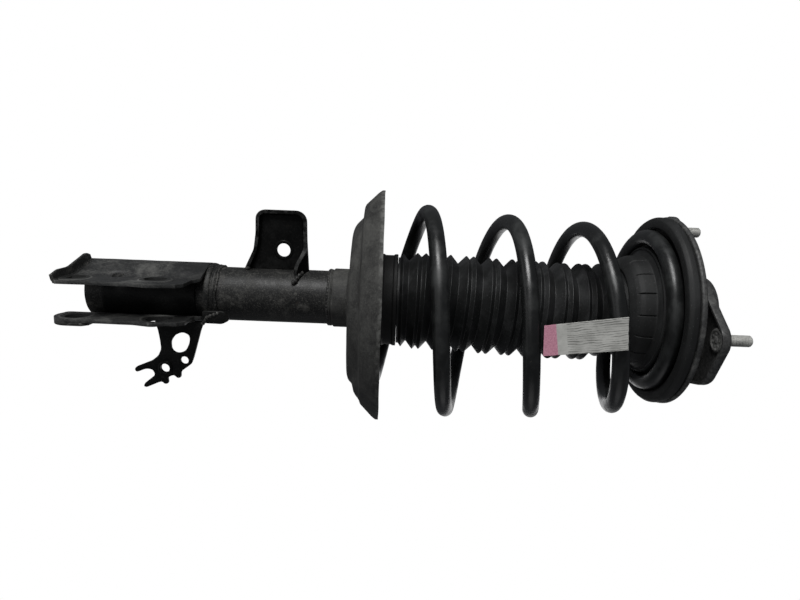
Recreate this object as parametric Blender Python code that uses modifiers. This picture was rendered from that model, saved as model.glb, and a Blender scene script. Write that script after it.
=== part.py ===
"""A MacPherson front strut assembly, standing along +Z with its studs up.

The origin is the centre of the top mount's mounting face, the rod's axis is Z, and the knuckle
clevis opens towards -Y, which is the wheel's side. The damper is at full extension.
"""

import bmesh
import bpy
from math import atan2, cos, hypot, pi, radians, sin, tau
from mathutils import Matrix

MM = 0.001
GAP = 0.3 * MM
ROUND = 32
INNER_ROUND = 20

# Damper
TUBE_R = 25.5 * MM
TUBE_WALL = 2.5 * MM
TUBE_TOP = -268.3 * MM
TUBE_BOTTOM = -561.8 * MM
ROD_R = 11.0 * MM
ROD_THREAD_R = 7.0 * MM
ROD_SHOULDER = -14.3 * MM
ROD_TOP = 23.0 * MM
BORE_R = 15.2 * MM

# Top mount
PLATE_T = 4.0 * MM
RIM_DEPTH = 8.0 * MM
RIM_T = 2.8 * MM
STUD_CIRCLE_R = 80.0 * MM
STUD_R = 4.95 * MM
STUD_TOP = 23.0 * MM
EAR_R = 15.0 * MM
BROAD_X = 30.0 * MM
BROAD_Y = -57.0 * MM
STUD_ANGLES = (-6.0, 114.0, 234.0)
DOME_R = 34.0 * MM
DOME_TOP = 21.5 * MM
SEAT_R = 88.5 * MM
RACE_INNER_R = 44.5 * MM
RACE_OUTER_R = 51.5 * MM
BALL_TRACK_R = 48.0 * MM

# Coil spring: one full turn is 1.0, and turn 0 is at -X on the first open coil
WIRE_R = 7.1 * MM
PITCH = 74.0 * MM
FIRST_TURN = -1.45
LAST_TURN = 3.58
FIRST_COIL_Z = -253.5 * MM
SPRING_OFFSET_X = 1.3 * MM
SPRING_OFFSET_Y = -20.0 * MM

# Lower spring seat, centred on the spring and not on the rod
RIM_R = 104.75 * MM
RIM_Z = -289.0 * MM
SEAT_T = 2.5 * MM
SEAT_FLOOR = -314.9 * MM
WELL_R = 71.0 * MM
WELL_TILT = 1.0 * MM
PAN_LEAN = 0.03

# Dust boot
BOOT_BOTTOM = -273.6 * MM
BOOT_VALLEY = -264.1 * MM
BOOT_PITCH = 22.0 * MM
BOOT_FOLDS = 8
BOOT_PEAK_R = 46.0 * MM
BOOT_VALLEY_R = 37.5 * MM
BOOT_T = 1.8 * MM

# Knuckle bracket: a U-shaped sheet round the tube, with two parallel flanges towards -Y
SHEET_T = 3.2 * MM
CLEVIS_HALF = 15.2 * MM
FLANGE_FRONT = -65.0 * MM
FLANGE_END = -569.8 * MM
FLANGE_TOP = -458.5 * MM
WRAP_TOP = -451.9 * MM
EAR_TIP = -575.4 * MM
BOLT_Y = -48.3 * MM
LOWER_BOLT_Z = -557.5 * MM
UPPER_BOLT_Z = -486.0 * MM
BOLT_HOLE_R = 8.3 * MM
SLOT_HALF = 1.5 * MM
DRAIN_Y = -30.0 * MM
DRAIN_Z = -527.5 * MM
DRAIN_R = 4.8 * MM
HOSE_Y = -30.0 * MM
HOSE_T = 3.4 * MM


def clear_scene():
    for thing in list(bpy.data.objects):
        bpy.data.objects.remove(thing, do_unlink=True)


def new_collection(name):
    made = bpy.data.collections.new(name)
    bpy.context.scene.collection.children.link(made)
    return made


def paint(name, colour, roughness, metallic=0.0):
    made = bpy.data.materials.new(name)
    made.use_nodes = True
    shader = made.node_tree.nodes["Principled BSDF"]
    shader.inputs["Base Color"].default_value = (*colour, 1.0)
    shader.inputs["Roughness"].default_value = roughness
    shader.inputs["Metallic"].default_value = metallic
    return made


def place(name, mesh, material, matrix=None):
    """A new part with this mesh, in the strut's collection."""
    made = bpy.data.objects.new(name, mesh)
    mesh.materials.append(material)
    strut.objects.link(made)
    made.parent = riders_on
    if matrix is not None:
        made.matrix_world = matrix
    return made


def new_body(name, parent=None):
    """An empty on the joint axis, which carries the pieces of one moving body."""
    made = bpy.data.objects.new(name, None)
    strut.objects.link(made)
    made.parent = parent
    return made


def as_cutter(thing):
    strut.objects.unlink(thing)
    cutters.objects.link(thing)
    thing.parent = None
    thing.hide_render = True
    thing.display_type = "WIRE"
    return thing


def evaluated_mesh(thing):
    bpy.context.view_layer.update()
    graph = bpy.context.evaluated_depsgraph_get()
    return bpy.data.meshes.new_from_object(thing.evaluated_get(graph))


def tidy_mesh(mesh):
    """Welds a mesh's loose caps, turns its faces outwards and shades its round sides smooth."""
    work = bmesh.new()
    work.from_mesh(mesh)
    bmesh.ops.remove_doubles(work, verts=work.verts, dist=0.005 * MM)
    bmesh.ops.recalc_face_normals(work, faces=work.faces)
    work.to_mesh(mesh)
    work.free()
    mesh.shade_smooth()
    mesh.set_sharp_from_angle(angle=radians(35))
    return mesh


def frozen(thing):
    """The evaluated mesh of a helper object, which is then removed."""
    mesh = evaluated_mesh(thing)
    data = thing.data
    bpy.data.objects.remove(thing, do_unlink=True)
    if isinstance(data, bpy.types.Curve):
        bpy.data.curves.remove(data)
    mesh.materials.clear()
    return tidy_mesh(mesh)


def turned(name, profile, material, steps=ROUND, centre=(0.0, 0.0), closed=True):
    """A shape turned about Z: profile is (radius, z) points that run down the outer side."""
    wire = bpy.data.meshes.new(name)
    count = len(profile)
    edges = [(i, i + 1) for i in range(count - 1)]
    if closed:
        edges.append((count - 1, 0))
    wire.from_pydata([(r, 0.0, z) for r, z in profile], edges, [])
    helper = bpy.data.objects.new(name + "_profile", wire)
    strut.objects.link(helper)
    screw = helper.modifiers.new("Turn", "SCREW")
    screw.steps = steps
    screw.render_steps = steps
    screw.use_merge_vertices = True
    screw.merge_threshold = 0.00001
    return place(name, frozen(helper), material, Matrix.Translation((*centre, 0.0)))


def ring(name, inner, outer, bottom, top, material, chamfer=0.0, steps=INNER_ROUND):
    """A turned ring, with its outer corners cut back by chamfer."""
    profile = [(inner, top), (outer - chamfer, top)]
    if chamfer:
        profile.append((outer, top - chamfer))
        profile.append((outer, bottom + chamfer))
    profile.append((outer - chamfer, bottom))
    profile.append((inner, bottom))
    return turned(name, profile, material, steps)


def arc(centre_u, centre_v, radius, start, end, pieces):
    """Points on an arc, with its angles in degrees."""
    steps = [radians(start + (end - start) * i / pieces) for i in range(pieces + 1)]
    return [(centre_u + radius * cos(a), centre_v + radius * sin(a)) for a in steps]


def hole(centre_u, centre_v, radius, pieces=20):
    return arc(centre_u, centre_v, radius, 0, 360 * (pieces - 1) / pieces, pieces - 1)


def plate(name, outlines, thickness, material, matrix):
    """A flat plate: the first outline is its edge, and the others are holes through it."""
    curve = bpy.data.curves.new(name, "CURVE")
    curve.dimensions = "2D"
    curve.fill_mode = "BOTH"
    curve.extrude = thickness / 2
    for outline in outlines:
        spline = curve.splines.new("POLY")
        spline.points.add(len(outline) - 1)
        for point, (u, v) in zip(spline.points, outline):
            point.co = (u, v, 0.0, 1.0)
        spline.use_cyclic_u = True
    helper = bpy.data.objects.new(name + "_outline", curve)
    strut.objects.link(helper)
    return place(name, frozen(helper), material, matrix)


def facing_x(x):
    """A frame whose plate lies in the YZ plane at this x: its u is Y and its v is Z."""
    return Matrix(((0, 0, 1, x), (1, 0, 0, 0), (0, 1, 0, 0), (0, 0, 0, 1)))


def facing_y(y):
    """A frame whose plate lies in the XZ plane at this y: its u is X and its v is Z."""
    return Matrix(((1, 0, 0, 0), (0, 0, -1, y), (0, 1, 0, 0), (0, 0, 0, 1)))


def flat_at(z):
    return Matrix.Translation((0.0, 0.0, z))


def boolean(thing, other, operation="DIFFERENCE"):
    cut = thing.modifiers.new(operation.title(), "BOOLEAN")
    cut.operation = operation
    cut.object = as_cutter(other)
    return thing


def rod_cutter(name, radius, low, high, matrix):
    """A plain cylinder along its frame's Z, from low to high."""
    mesh = bpy.data.meshes.new(name)
    work = bmesh.new()
    middle = Matrix.Translation((0.0, 0.0, (low + high) / 2))
    bmesh.ops.create_cone(
        work,
        cap_ends=True,
        segments=28,
        radius1=radius,
        radius2=radius,
        depth=high - low,
        matrix=middle,
    )
    work.to_mesh(mesh)
    work.free()
    return place(name, mesh, black_paint, matrix)


def sheet(name, rows, thickness, material):
    """A sheet of even thickness through rows of points, each row as long as the first."""
    mesh = bpy.data.meshes.new(name)
    width = len(rows[0])
    faces = []
    for i in range(len(rows) - 1):
        for j in range(width - 1):
            corner = i * width + j
            faces.append((corner, corner + 1, corner + width + 1, corner + width))
    mesh.from_pydata([point for row in rows for point in row], [], faces)
    helper = bpy.data.objects.new(name + "_surface", mesh)
    strut.objects.link(helper)
    solid = helper.modifiers.new("Thickness", "SOLIDIFY")
    solid.thickness = thickness
    solid.offset = 0.0
    solid.use_even_offset = True
    return place(name, frozen(helper), material)


def smoothstep(low, high, value):
    share = min(max((value - low) / (high - low), 0.0), 1.0)
    return share * share * (3 - 2 * share)


def spring_point(turn):
    """The wire's centre line: a barrel-shaped coil whose two end coils lie nearly flat."""
    tilt = 5.3 * MM * (1 - smoothstep(1.0, 1.5, turn))
    lean = -(2.5 + 4.0 * smoothstep(0.8, 1.7, turn)) * MM * (1 - smoothstep(2.6, 3.0, turn))
    angle = tau * turn
    open_z = FIRST_COIL_Z + PITCH * turn + tilt * cos(angle) + lean * sin(angle)
    seated_z = -293.5 * MM + 13.6 * MM * (turn + 0.5)
    upper_z = -38.7 * MM + 6.5 * MM * (turn - 3.0)
    z = seated_z + (open_z - seated_z) * smoothstep(-0.7, -0.05, turn)
    z = z + (upper_z - z) * smoothstep(2.55, 3.05, turn)
    radius = 65.5 + 23.0 * smoothstep(-0.75, 0.1, turn) - 6.0 * smoothstep(0.3, 2.3, turn)
    radius = (radius - 13.5 * smoothstep(2.3, 3.02, turn)) * MM
    offset = 1 - smoothstep(2.2, 3.0, turn)
    swell = 6.2 * MM * smoothstep(-0.3, 0.8, turn)
    x = (SPRING_OFFSET_X + swell) * offset - radius * cos(angle)
    y = SPRING_OFFSET_Y * offset - radius * sin(angle)
    return x, y, z


def coil(name, point_at, start, end, per_turn, radius, material):
    """A round wire along a centre line, as a closed mesh."""
    curve = bpy.data.curves.new(name, "CURVE")
    curve.dimensions = "3D"
    curve.bevel_depth = radius
    curve.bevel_resolution = 2
    curve.use_fill_caps = True
    spline = curve.splines.new("POLY")
    count = round((end - start) * per_turn)
    spline.points.add(count)
    for i, point in enumerate(spline.points):
        point.co = (*point_at(start + (end - start) * i / count), 1.0)
    helper = bpy.data.objects.new(name + "_path", curve)
    strut.objects.link(helper)
    return place(name, frozen(helper), material)


def out_from_axis(degrees, radius):
    """A point round the mount: 0 degrees is -Y and 90 degrees is -X."""
    angle = radians(degrees)
    return -radius * sin(angle), -radius * cos(angle)


def plate_outline(ear_r):
    """The mount's outline: an arc round each stud, and a wider one at its broad side."""
    outline = []
    for degrees, before, after in zip(STUD_ANGLES, (24, 60, 60), (60, 60, 50)):
        x, y = out_from_axis(degrees, STUD_CIRCLE_R)
        outward = atan2(y, x) * 180 / pi
        outline.extend(arc(x, y, ear_r, outward + before, outward - after, 8))
    outline.extend(arc(BROAD_X, BROAD_Y, ear_r + 9.0 * MM, -14, -60, 5))
    return outline


def make_mount_plate():
    """A pressing with three ears: a flat plate, a rim turned down along its edge and a dome."""
    outline = plate_outline(EAR_R)
    holes = [hole(*out_from_axis(d, STUD_CIRCLE_R), STUD_R + GAP, 14) for d in STUD_ANGLES]
    holes.append(hole(0.0, 0.0, DOME_R - 2.0 * MM, 28))
    body = plate("mount_plate", [outline, *holes], PLATE_T, zinc_black, flat_at(-PLATE_T / 2))
    rim_outlines = [outline, plate_outline(EAR_R - RIM_T)]
    rim_height = RIM_DEPTH - PLATE_T / 2
    rim_middle = flat_at(-RIM_DEPTH + rim_height / 2)
    boolean(body, plate("mount_rim", rim_outlines, rim_height, zinc_black, rim_middle), "UNION")
    wall = 3.0 * MM
    dome = [
        (20.0 * MM, DOME_TOP),
        (DOME_R - 6.0 * MM, DOME_TOP),
        (DOME_R - 1.5 * MM, DOME_TOP - 2.0 * MM),
        (DOME_R, DOME_TOP - 6.0 * MM),
        (DOME_R, -3.0 * MM),
        (DOME_R - wall, -3.0 * MM),
        (DOME_R - wall, DOME_TOP - wall - 3.0 * MM),
        (DOME_R - wall - 3.0 * MM, DOME_TOP - wall),
        (20.0 * MM, DOME_TOP - wall),
    ]
    boolean(body, turned("mount_dome", dome, zinc_black, 28), "UNION")


def make_studs():
    for number, degrees in enumerate(STUD_ANGLES, 1):
        head = 10.0 * MM
        under = -PLATE_T - GAP
        thin = 2.3 * MM
        profile = [
            (0.0, STUD_TOP),
            (STUD_R - 1.2 * MM, STUD_TOP),
            (STUD_R, STUD_TOP - 1.2 * MM),
            (STUD_R, under),
            (head, under),
            (head, under - thin + 0.6 * MM),
            (head - 1.0 * MM, under - thin),
            (0.0, under - thin),
        ]
        centre = out_from_axis(degrees, STUD_CIRCLE_R)
        turned(f"mount_stud_{number}", profile, zinc, 16, centre, closed=False)


def nut(name, thread_r, corner_r, bottom, top):
    """A hexagon nut on Z, with a plain round bore."""
    outlines = [hole(0.0, 0.0, corner_r, 6), hole(0.0, 0.0, thread_r + GAP, 24)]
    plate(name, outlines, top - bottom, zinc, flat_at((bottom + top) / 2))


def make_mount_core():
    ring("mount_rubber", 12.3 * MM, DOME_R - 3.5 * MM, -4.0 * MM, 8.0 * MM, rubber, 2 * MM)
    ring("mount_core", ROD_THREAD_R + GAP, 12.0 * MM, -14.0 * MM, 8.0 * MM, zinc)
    ring("bearing_carrier", 20.0 * MM, RACE_OUTER_R, -6.6 * MM, -4.3 * MM, zinc_black)
    ring("rod_washer", ROD_THREAD_R + GAP, 17.0 * MM, 8.3 * MM, 10.3 * MM, zinc, 0.5 * MM)
    nut("rod_nut", ROD_THREAD_R, 12.7 * MM, 10.6 * MM, 20.0 * MM)


def make_race(name, bottom, top):
    """One of the two plastic rings that the steering bearing's balls run between."""
    ring(name, RACE_INNER_R, RACE_OUTER_R, bottom, top, race_plastic)


def make_bearing_cage():
    ball_r = 2.2 * MM
    level = -15.05 * MM
    count = 10
    inner = BALL_TRACK_R - 1.1 * MM
    outer = BALL_TRACK_R + 1.1 * MM
    cage = ring("bearing_cage", inner, outer, level - 0.9 * MM, level + 0.9 * MM, zinc)
    mesh = bpy.data.meshes.new("bearing_balls")
    work = bmesh.new()
    for i in range(count):
        angle = tau * i / count
        spot = Matrix.Translation(
            (BALL_TRACK_R * cos(angle), BALL_TRACK_R * sin(angle), level)
        )
        bmesh.ops.create_uvsphere(work, u_segments=6, v_segments=4, radius=ball_r, matrix=spot)
    work.to_mesh(mesh)
    work.free()
    boolean(cage, place("bearing_balls", mesh, zinc), "UNION")


def make_upper_seat():
    lip = SEAT_R - 2.2 * MM
    profile = [
        (lip, -19.0 * MM),
        (SEAT_R, -19.0 * MM),
        (SEAT_R, -23.7 * MM),
        (46.4 * MM, -23.7 * MM),
        (46.4 * MM, -40.0 * MM),
        (44.2 * MM, -40.0 * MM),
        (44.2 * MM, -21.4 * MM),
        (lip, -21.4 * MM),
    ]
    turned("upper_spring_seat", profile, black_paint)


def make_upper_insulator():
    """A rubber ring with a channel for the spring's end coil and a skirt round the boot's top."""
    channel_top = -27.6 * MM
    profile = [
        (46.8 * MM, -24.0 * MM),
        (86.0 * MM, -24.0 * MM),
        (88.0 * MM, -26.0 * MM),
        (88.0 * MM, -31.5 * MM),
        (85.5 * MM, -34.0 * MM),
        (78.6 * MM, -34.0 * MM),
        (77.0 * MM, -32.4 * MM),
        (77.0 * MM, channel_top),
        (59.4 * MM, channel_top),
        (59.4 * MM, -43.0 * MM),
        (51.3 * MM, -45.5 * MM),
        (51.3 * MM, -55.0 * MM),
        (48.0 * MM, -60.5 * MM),
        (41.0 * MM, -65.5 * MM),
        (39.2 * MM, -65.5 * MM),
        (39.2 * MM, -62.0 * MM),
        (46.8 * MM, -54.0 * MM),
    ]
    turned("upper_insulator", profile, rubber)


def make_spring():
    coil("coil_spring", spring_point, FIRST_TURN, LAST_TURN, 18, WIRE_R, spring_paint)


def make_label():
    """A paper flag in front of the third coil's wire, on the wheel's side."""
    view = radians(11.0)
    ahead = Matrix.Rotation(-view, 4, "Z") @ Matrix.Translation((0.0, -108.5 * MM, 0.0))
    outline = [
        (17.4 * MM, -157.9 * MM),
        (41.8 * MM, -157.9 * MM),
        (33.8 * MM, -91.1 * MM),
        (6.3 * MM, -91.1 * MM),
    ]
    plate("spring_label", [outline], 0.6 * MM, paper, ahead @ facing_y(0.0))


def make_boot():
    """Plain bellows, with one crest for each fold and a neck that enters the insulator."""
    outer = [(41.0 * MM, BOOT_BOTTOM), (41.0 * MM, BOOT_BOTTOM + 4.5 * MM)]
    for fold in range(BOOT_FOLDS):
        low = BOOT_VALLEY + fold * BOOT_PITCH
        outer.append((BOOT_VALLEY_R, low))
        outer.append((BOOT_PEAK_R, low + 0.5 * BOOT_PITCH))
    last = BOOT_VALLEY + BOOT_FOLDS * BOOT_PITCH
    outer.append((BOOT_VALLEY_R, last))
    outer.append((44.0 * MM, last + 5.8 * MM))
    outer.append((38.2 * MM, last + 12.3 * MM))
    outer.append((38.2 * MM, last + 28.1 * MM))
    inner = [(r - BOOT_T, z) for r, z in outer]
    profile = list(reversed(outer)) + inner
    turned("dust_boot", profile, rubber, INNER_ROUND)


def make_boot_retainer():
    profile = [
        (43.8 * MM, -274.0 * MM),
        (43.8 * MM, -289.0 * MM),
        (34.0 * MM, -299.0 * MM),
        (TUBE_R + GAP, -299.0 * MM),
        (TUBE_R + GAP, -295.0 * MM),
        (33.0 * MM, -295.0 * MM),
        (41.4 * MM, -287.0 * MM),
        (41.4 * MM, -274.0 * MM),
    ]
    turned("boot_retainer", profile, rubber)


def make_bump_stop():
    """A foam stop on the rod, waisted twice, under its cup."""
    cup = [
        (28.0 * MM, -60.0 * MM),
        (28.0 * MM, -70.0 * MM),
        (26.0 * MM, -70.0 * MM),
        (26.0 * MM, -62.0 * MM),
        (ROD_R + GAP, -62.0 * MM),
        (ROD_R + GAP, -60.0 * MM),
    ]
    turned("bump_stop_cup", cup, zinc, INNER_ROUND)
    inner = ROD_R + GAP
    profile = [
        (inner, -62.3 * MM),
        (25.6 * MM, -62.3 * MM),
        (25.6 * MM, -78.0 * MM),
        (20.0 * MM, -84.0 * MM),
        (24.0 * MM, -90.0 * MM),
        (24.0 * MM, -96.0 * MM),
        (18.0 * MM, -102.0 * MM),
        (20.5 * MM, -108.0 * MM),
        (16.0 * MM, -121.0 * MM),
        (inner, -121.0 * MM),
    ]
    turned("bump_stop", profile, foam, INNER_ROUND)


def make_rod():
    """The rod has a step for the piston at its foot and a threaded neck for the mount's nut."""
    foot_r = 6.0 * MM
    profile = [
        (0.0, ROD_TOP),
        (ROD_THREAD_R - 1.2 * MM, ROD_TOP),
        (ROD_THREAD_R, ROD_TOP - 1.2 * MM),
        (ROD_THREAD_R, ROD_SHOULDER),
        (ROD_R, ROD_SHOULDER),
        (ROD_R, -306.0 * MM),
        (foot_r, -306.0 * MM),
        (foot_r, -333.0 * MM),
        (0.0, -333.0 * MM),
    ]
    turned("piston_rod", profile, chrome, 24, closed=False)


def make_piston():
    slide_r = BORE_R - GAP
    ring("rebound_stop", ROD_R + GAP, slide_r, -294.0 * MM, -284.1 * MM, foam)
    ring("piston", 6.3 * MM, slide_r, -325.0 * MM, -306.3 * MM, zinc)
    nut("piston_nut", 6.0 * MM, 10.0 * MM, -332.0 * MM, -325.3 * MM)


def make_tube():
    bore = TUBE_R - TUBE_WALL
    ring("strut_tube", bore, TUBE_R, TUBE_BOTTOM, TUBE_TOP, black_paint, steps=ROUND)
    inside = TUBE_R - TUBE_WALL - GAP
    cup = [
        (0.0, -557.6 * MM),
        (inside, -557.6 * MM),
        (inside, -561.4 * MM),
        (17.0 * MM, -564.2 * MM),
        (0.0, -565.0 * MM),
    ]
    turned("base_cap", cup, black_paint, closed=False)
    ring("pressure_tube", BORE_R, BORE_R + 1.8 * MM, -553.0 * MM, -284.0 * MM, zinc)
    valve = [
        (0.0, -546.0 * MM),
        (BORE_R - GAP, -546.0 * MM),
        (BORE_R - GAP, -553.3 * MM),
        (inside, -553.3 * MM),
        (inside, -557.3 * MM),
        (0.0, -557.3 * MM),
    ]
    turned("base_valve", valve, zinc, INNER_ROUND, closed=False)
    ring("rod_guide", ROD_R + GAP, inside, -283.7 * MM, -272.6 * MM, zinc)
    ring("rod_seal", ROD_R + GAP, inside, -272.3 * MM, -268.3 * MM, rubber)
    ring("tube_end_cap", 12.0 * MM, TUBE_R, -268.0 * MM, -264.0 * MM, black_paint, 1.2 * MM)


def make_lower_seat():
    """A pressed pan, a little higher in front, whose well sinks towards +X."""
    centre = (SPRING_OFFSET_X, SPRING_OFFSET_Y)
    line = [
        (0.0, SEAT_FLOOR),
        (WELL_R - 4.0 * MM, SEAT_FLOOR),
        (WELL_R, SEAT_FLOOR + 1.3 * MM),
        (WELL_R + 9.0 * MM, -304.8 * MM),
        (RIM_R - 13.5 * MM, -303.6 * MM),
        (RIM_R - 2.0 * MM, -292.0 * MM),
        (RIM_R, RIM_Z),
    ]
    half = SEAT_T / 2
    over = [(r, z + half) for r, z in line]
    under = [(r, z - half) for r, z in reversed(line)]
    profile = over + under
    pan = turned("lower_spring_seat", profile, dusty_steel, 36, centre, closed=False)
    for vertex in pan.data.vertices:
        from_axis = hypot(vertex.co.x, vertex.co.y)
        fade = 1 - smoothstep(WELL_R - 1.0 * MM, WELL_R + 4.0 * MM, from_axis)
        vertex.co.z -= WELL_TILT * fade * vertex.co.x / WELL_R + PAN_LEAN * vertex.co.y
    boolean(pan, rod_cutter("seat_hole", TUBE_R + GAP, -0.34, -0.28, flat_at(0.0)))
    low = -338.0 * MM
    high = -318.9 * MM
    ring("seat_collar", TUBE_R + GAP, 28.0 * MM, low, high, dusty_steel, 1 * MM, ROUND)


def make_lower_insulator():
    """A thin rubber pad between the pan's well and the spring's end coil."""
    inner = 56.0 * MM
    outer = 66.5 * MM
    low = SEAT_FLOOR + SEAT_T / 2 + GAP
    profile = [(outer, low + 0.9 * MM), (outer, low), (inner, low), (inner, low + 0.9 * MM)]
    centre = (SPRING_OFFSET_X, SPRING_OFFSET_Y)
    pad = turned("lower_insulator", profile, rubber, 36, centre)
    for vertex in pad.data.vertices:
        vertex.co.z -= WELL_TILT * vertex.co.x / WELL_R + PAN_LEAN * vertex.co.y


def bracket_line():
    """Half of the bracket's section from the flange's front edge to the back of the tube."""
    middle_r = TUBE_R + GAP + SHEET_T / 2
    flange_x = CLEVIS_HALF + SHEET_T / 2
    leave = 70
    tangent_x = middle_r * sin(radians(leave))
    tangent_y = -middle_r * cos(radians(leave))
    bend_y = tangent_y - (tangent_x - flange_x) * cos(radians(20)) / sin(radians(20))
    half = [(flange_x, FLANGE_FRONT - 2.0 * MM), (flange_x, bend_y), (tangent_x, tangent_y)]
    for degrees in range(leave + 11, 180, 11):
        angle = radians(degrees)
        half.append((middle_r * sin(angle), -middle_r * cos(angle)))
    return half


def flange_waste(low_edge):
    """The part of the sheet's side view, in Y and Z, that is cut away from one flange."""
    above = -420.0 * MM
    below = -620.0 * MM
    ahead = -100.0 * MM
    behind = 60.0 * MM
    top_step = [
        (FLANGE_FRONT, FLANGE_TOP - 4.0 * MM),
        (FLANGE_FRONT + 5.0 * MM, FLANGE_TOP),
        (-38.0 * MM, FLANGE_TOP + 1.0 * MM),
        (-33.0 * MM, FLANGE_TOP + 3.5 * MM),
        (-33.0 * MM, above),
    ]
    return low_edge + top_step + [(ahead, above), (ahead, below), (behind, below)]


def make_knuckle_bracket():
    half = bracket_line()
    line = half + [(0.0, TUBE_R + GAP + SHEET_T / 2)] + [(-x, y) for x, y in reversed(half)]
    rows = [[(x, y, z) for x, y in line] for z in (-0.58, WRAP_TOP)]
    body = sheet("knuckle_bracket", rows, SHEET_T, black_paint)

    ear = arc(BOLT_Y, EAR_TIP + 16.7 * MM, 16.7 * MM, -60, -180, 8)
    right_edge = [(60.0 * MM, TUBE_BOTTOM), (-20.0 * MM, TUBE_BOTTOM), *ear]
    left_edge = [
        (60.0 * MM, TUBE_BOTTOM),
        (8.0 * MM, TUBE_BOTTOM),
        (0.0, FLANGE_END),
        (FLANGE_FRONT + 4.0 * MM, FLANGE_END),
        (FLANGE_FRONT, FLANGE_END + 4.0 * MM),
    ]
    width = 50.0 * MM
    for name, side, edge in (("right_waste", 1, right_edge), ("left_waste", -1, left_edge)):
        frame = facing_x(side * (width / 2 - 0.5 * MM))
        boolean(body, plate(name, [flange_waste(edge)], width, black_paint, frame))

    wing = []
    for y, x in ((-64.5, -17.2), (-40.0, -17.2), (-34.0, -17.6), (-12.0, -25.0), (-3.0, -26.4)):
        root = (x * MM, y * MM, FLANGE_END + 2.6 * MM)
        fold = (x * MM - 2.5 * MM, y * MM, FLANGE_END + 1.6 * MM)
        tip = (x * MM - 9.0 * MM, y * MM, FLANGE_END - 0.4 * MM)
        wing.append([root, fold, tip])
    boolean(body, sheet("bracket_wing", wing, SHEET_T, black_paint), "UNION")

    for name, z in (("lower_bolt_hole", LOWER_BOLT_Z), ("upper_bolt_hole", UPPER_BOLT_Z)):
        slot = [
            *arc(BOLT_Y, z + SLOT_HALF, BOLT_HOLE_R, 0, 180, 10),
            *arc(BOLT_Y, z - SLOT_HALF, BOLT_HOLE_R, 180, 360, 10),
        ]
        boolean(body, plate(name, [slot], 80.0 * MM, black_paint, facing_x(0.0)))
    drain = [hole(DRAIN_Y, DRAIN_Z, DRAIN_R)]
    boolean(body, plate("drain_hole", drain, 40.0 * MM, black_paint, facing_x(-30.0 * MM)))


def make_bracket_closure():
    """The inner plate that closes the bracket's box in front of the tube."""
    middle_r = TUBE_R + GAP + 1.3 * MM
    line = []
    for degrees in range(-42, 43, 14):
        angle = radians(degrees)
        line.append((middle_r * sin(angle), -middle_r * cos(angle)))
    rows = [[(x, y, z) for x, y in line] for z in (-0.545, FLANGE_TOP - 1.0 * MM)]
    sheet("bracket_closure", rows, 2.6 * MM, black_paint)


def make_band():
    low = -451.6 * MM
    ring("bracket_band", TUBE_R + GAP, 29.0 * MM, low, low + 10.6 * MM, black_paint, 2 * MM, ROUND)


def make_hose_bracket():
    """A flat plate that faces -Y: a skirt beside the band, and below it a fork and two tabs."""
    skirt_foot = -451.4 * MM
    skirt = [
        (22.7 * MM, -450.5 * MM),
        (23.0 * MM, -433.5 * MM),
        (19.6 * MM, -427.0 * MM),
        (11.0 * MM, -431.5 * MM),
        (11.0 * MM, skirt_foot),
        (21.1 * MM, skirt_foot),
    ]
    neck_and_fork = [
        (21.1 * MM, -495.5 * MM),
        (30.9 * MM, -492.7 * MM),
        (48.4 * MM, -490.4 * MM),
        (55.1 * MM, -493.2 * MM),
        (60.3 * MM, -499.4 * MM),
        (66.9 * MM, -514.6 * MM),
        (69.5 * MM, -516.0 * MM),
        (72.1 * MM, -514.1 * MM),
        (68.7 * MM, -506.1 * MM),
        (69.2 * MM, -499.4 * MM),
        (74.5 * MM, -497.3 * MM),
        (82.4 * MM, -506.9 * MM),
        (85.5 * MM, -508.2 * MM),
        (86.7 * MM, -505.6 * MM),
        (81.4 * MM, -494.2 * MM),
        (80.3 * MM, -490.6 * MM),
    ]
    tabs = [
        (82.9 * MM, -488.1 * MM),
        (81.9 * MM, -484.5 * MM),
        (76.0 * MM, -485.3 * MM),
        (73.4 * MM, -479.3 * MM),
        (76.7 * MM, -476.0 * MM),
        (75.7 * MM, -472.8 * MM),
        (70.0 * MM, -472.8 * MM),
        (62.3 * MM, -462.7 * MM),
        (55.1 * MM, -460.1 * MM),
        (28.9 * MM, -452.9 * MM),
    ]
    window = [
        (31.9 * MM, -470.2 * MM),
        (34.0 * MM, -464.7 * MM),
        (37.1 * MM, -463.4 * MM),
        (42.3 * MM, -464.0 * MM),
        (48.9 * MM, -467.1 * MM),
        (51.8 * MM, -471.6 * MM),
        (52.1 * MM, -476.8 * MM),
        (48.8 * MM, -480.8 * MM),
        (40.8 * MM, -481.1 * MM),
        (34.9 * MM, -477.1 * MM),
    ]
    clip_hole = hole(58.9 * MM, -469.0 * MM, 3.7 * MM)
    bolt_hole = hole(66.9 * MM, -487.0 * MM, 4.3 * MM)
    outlines = [neck_and_fork + tabs + skirt, window, clip_hole, bolt_hole]
    plate("hose_bracket", outlines, HOSE_T, black_paint, facing_y(HOSE_Y))


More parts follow.
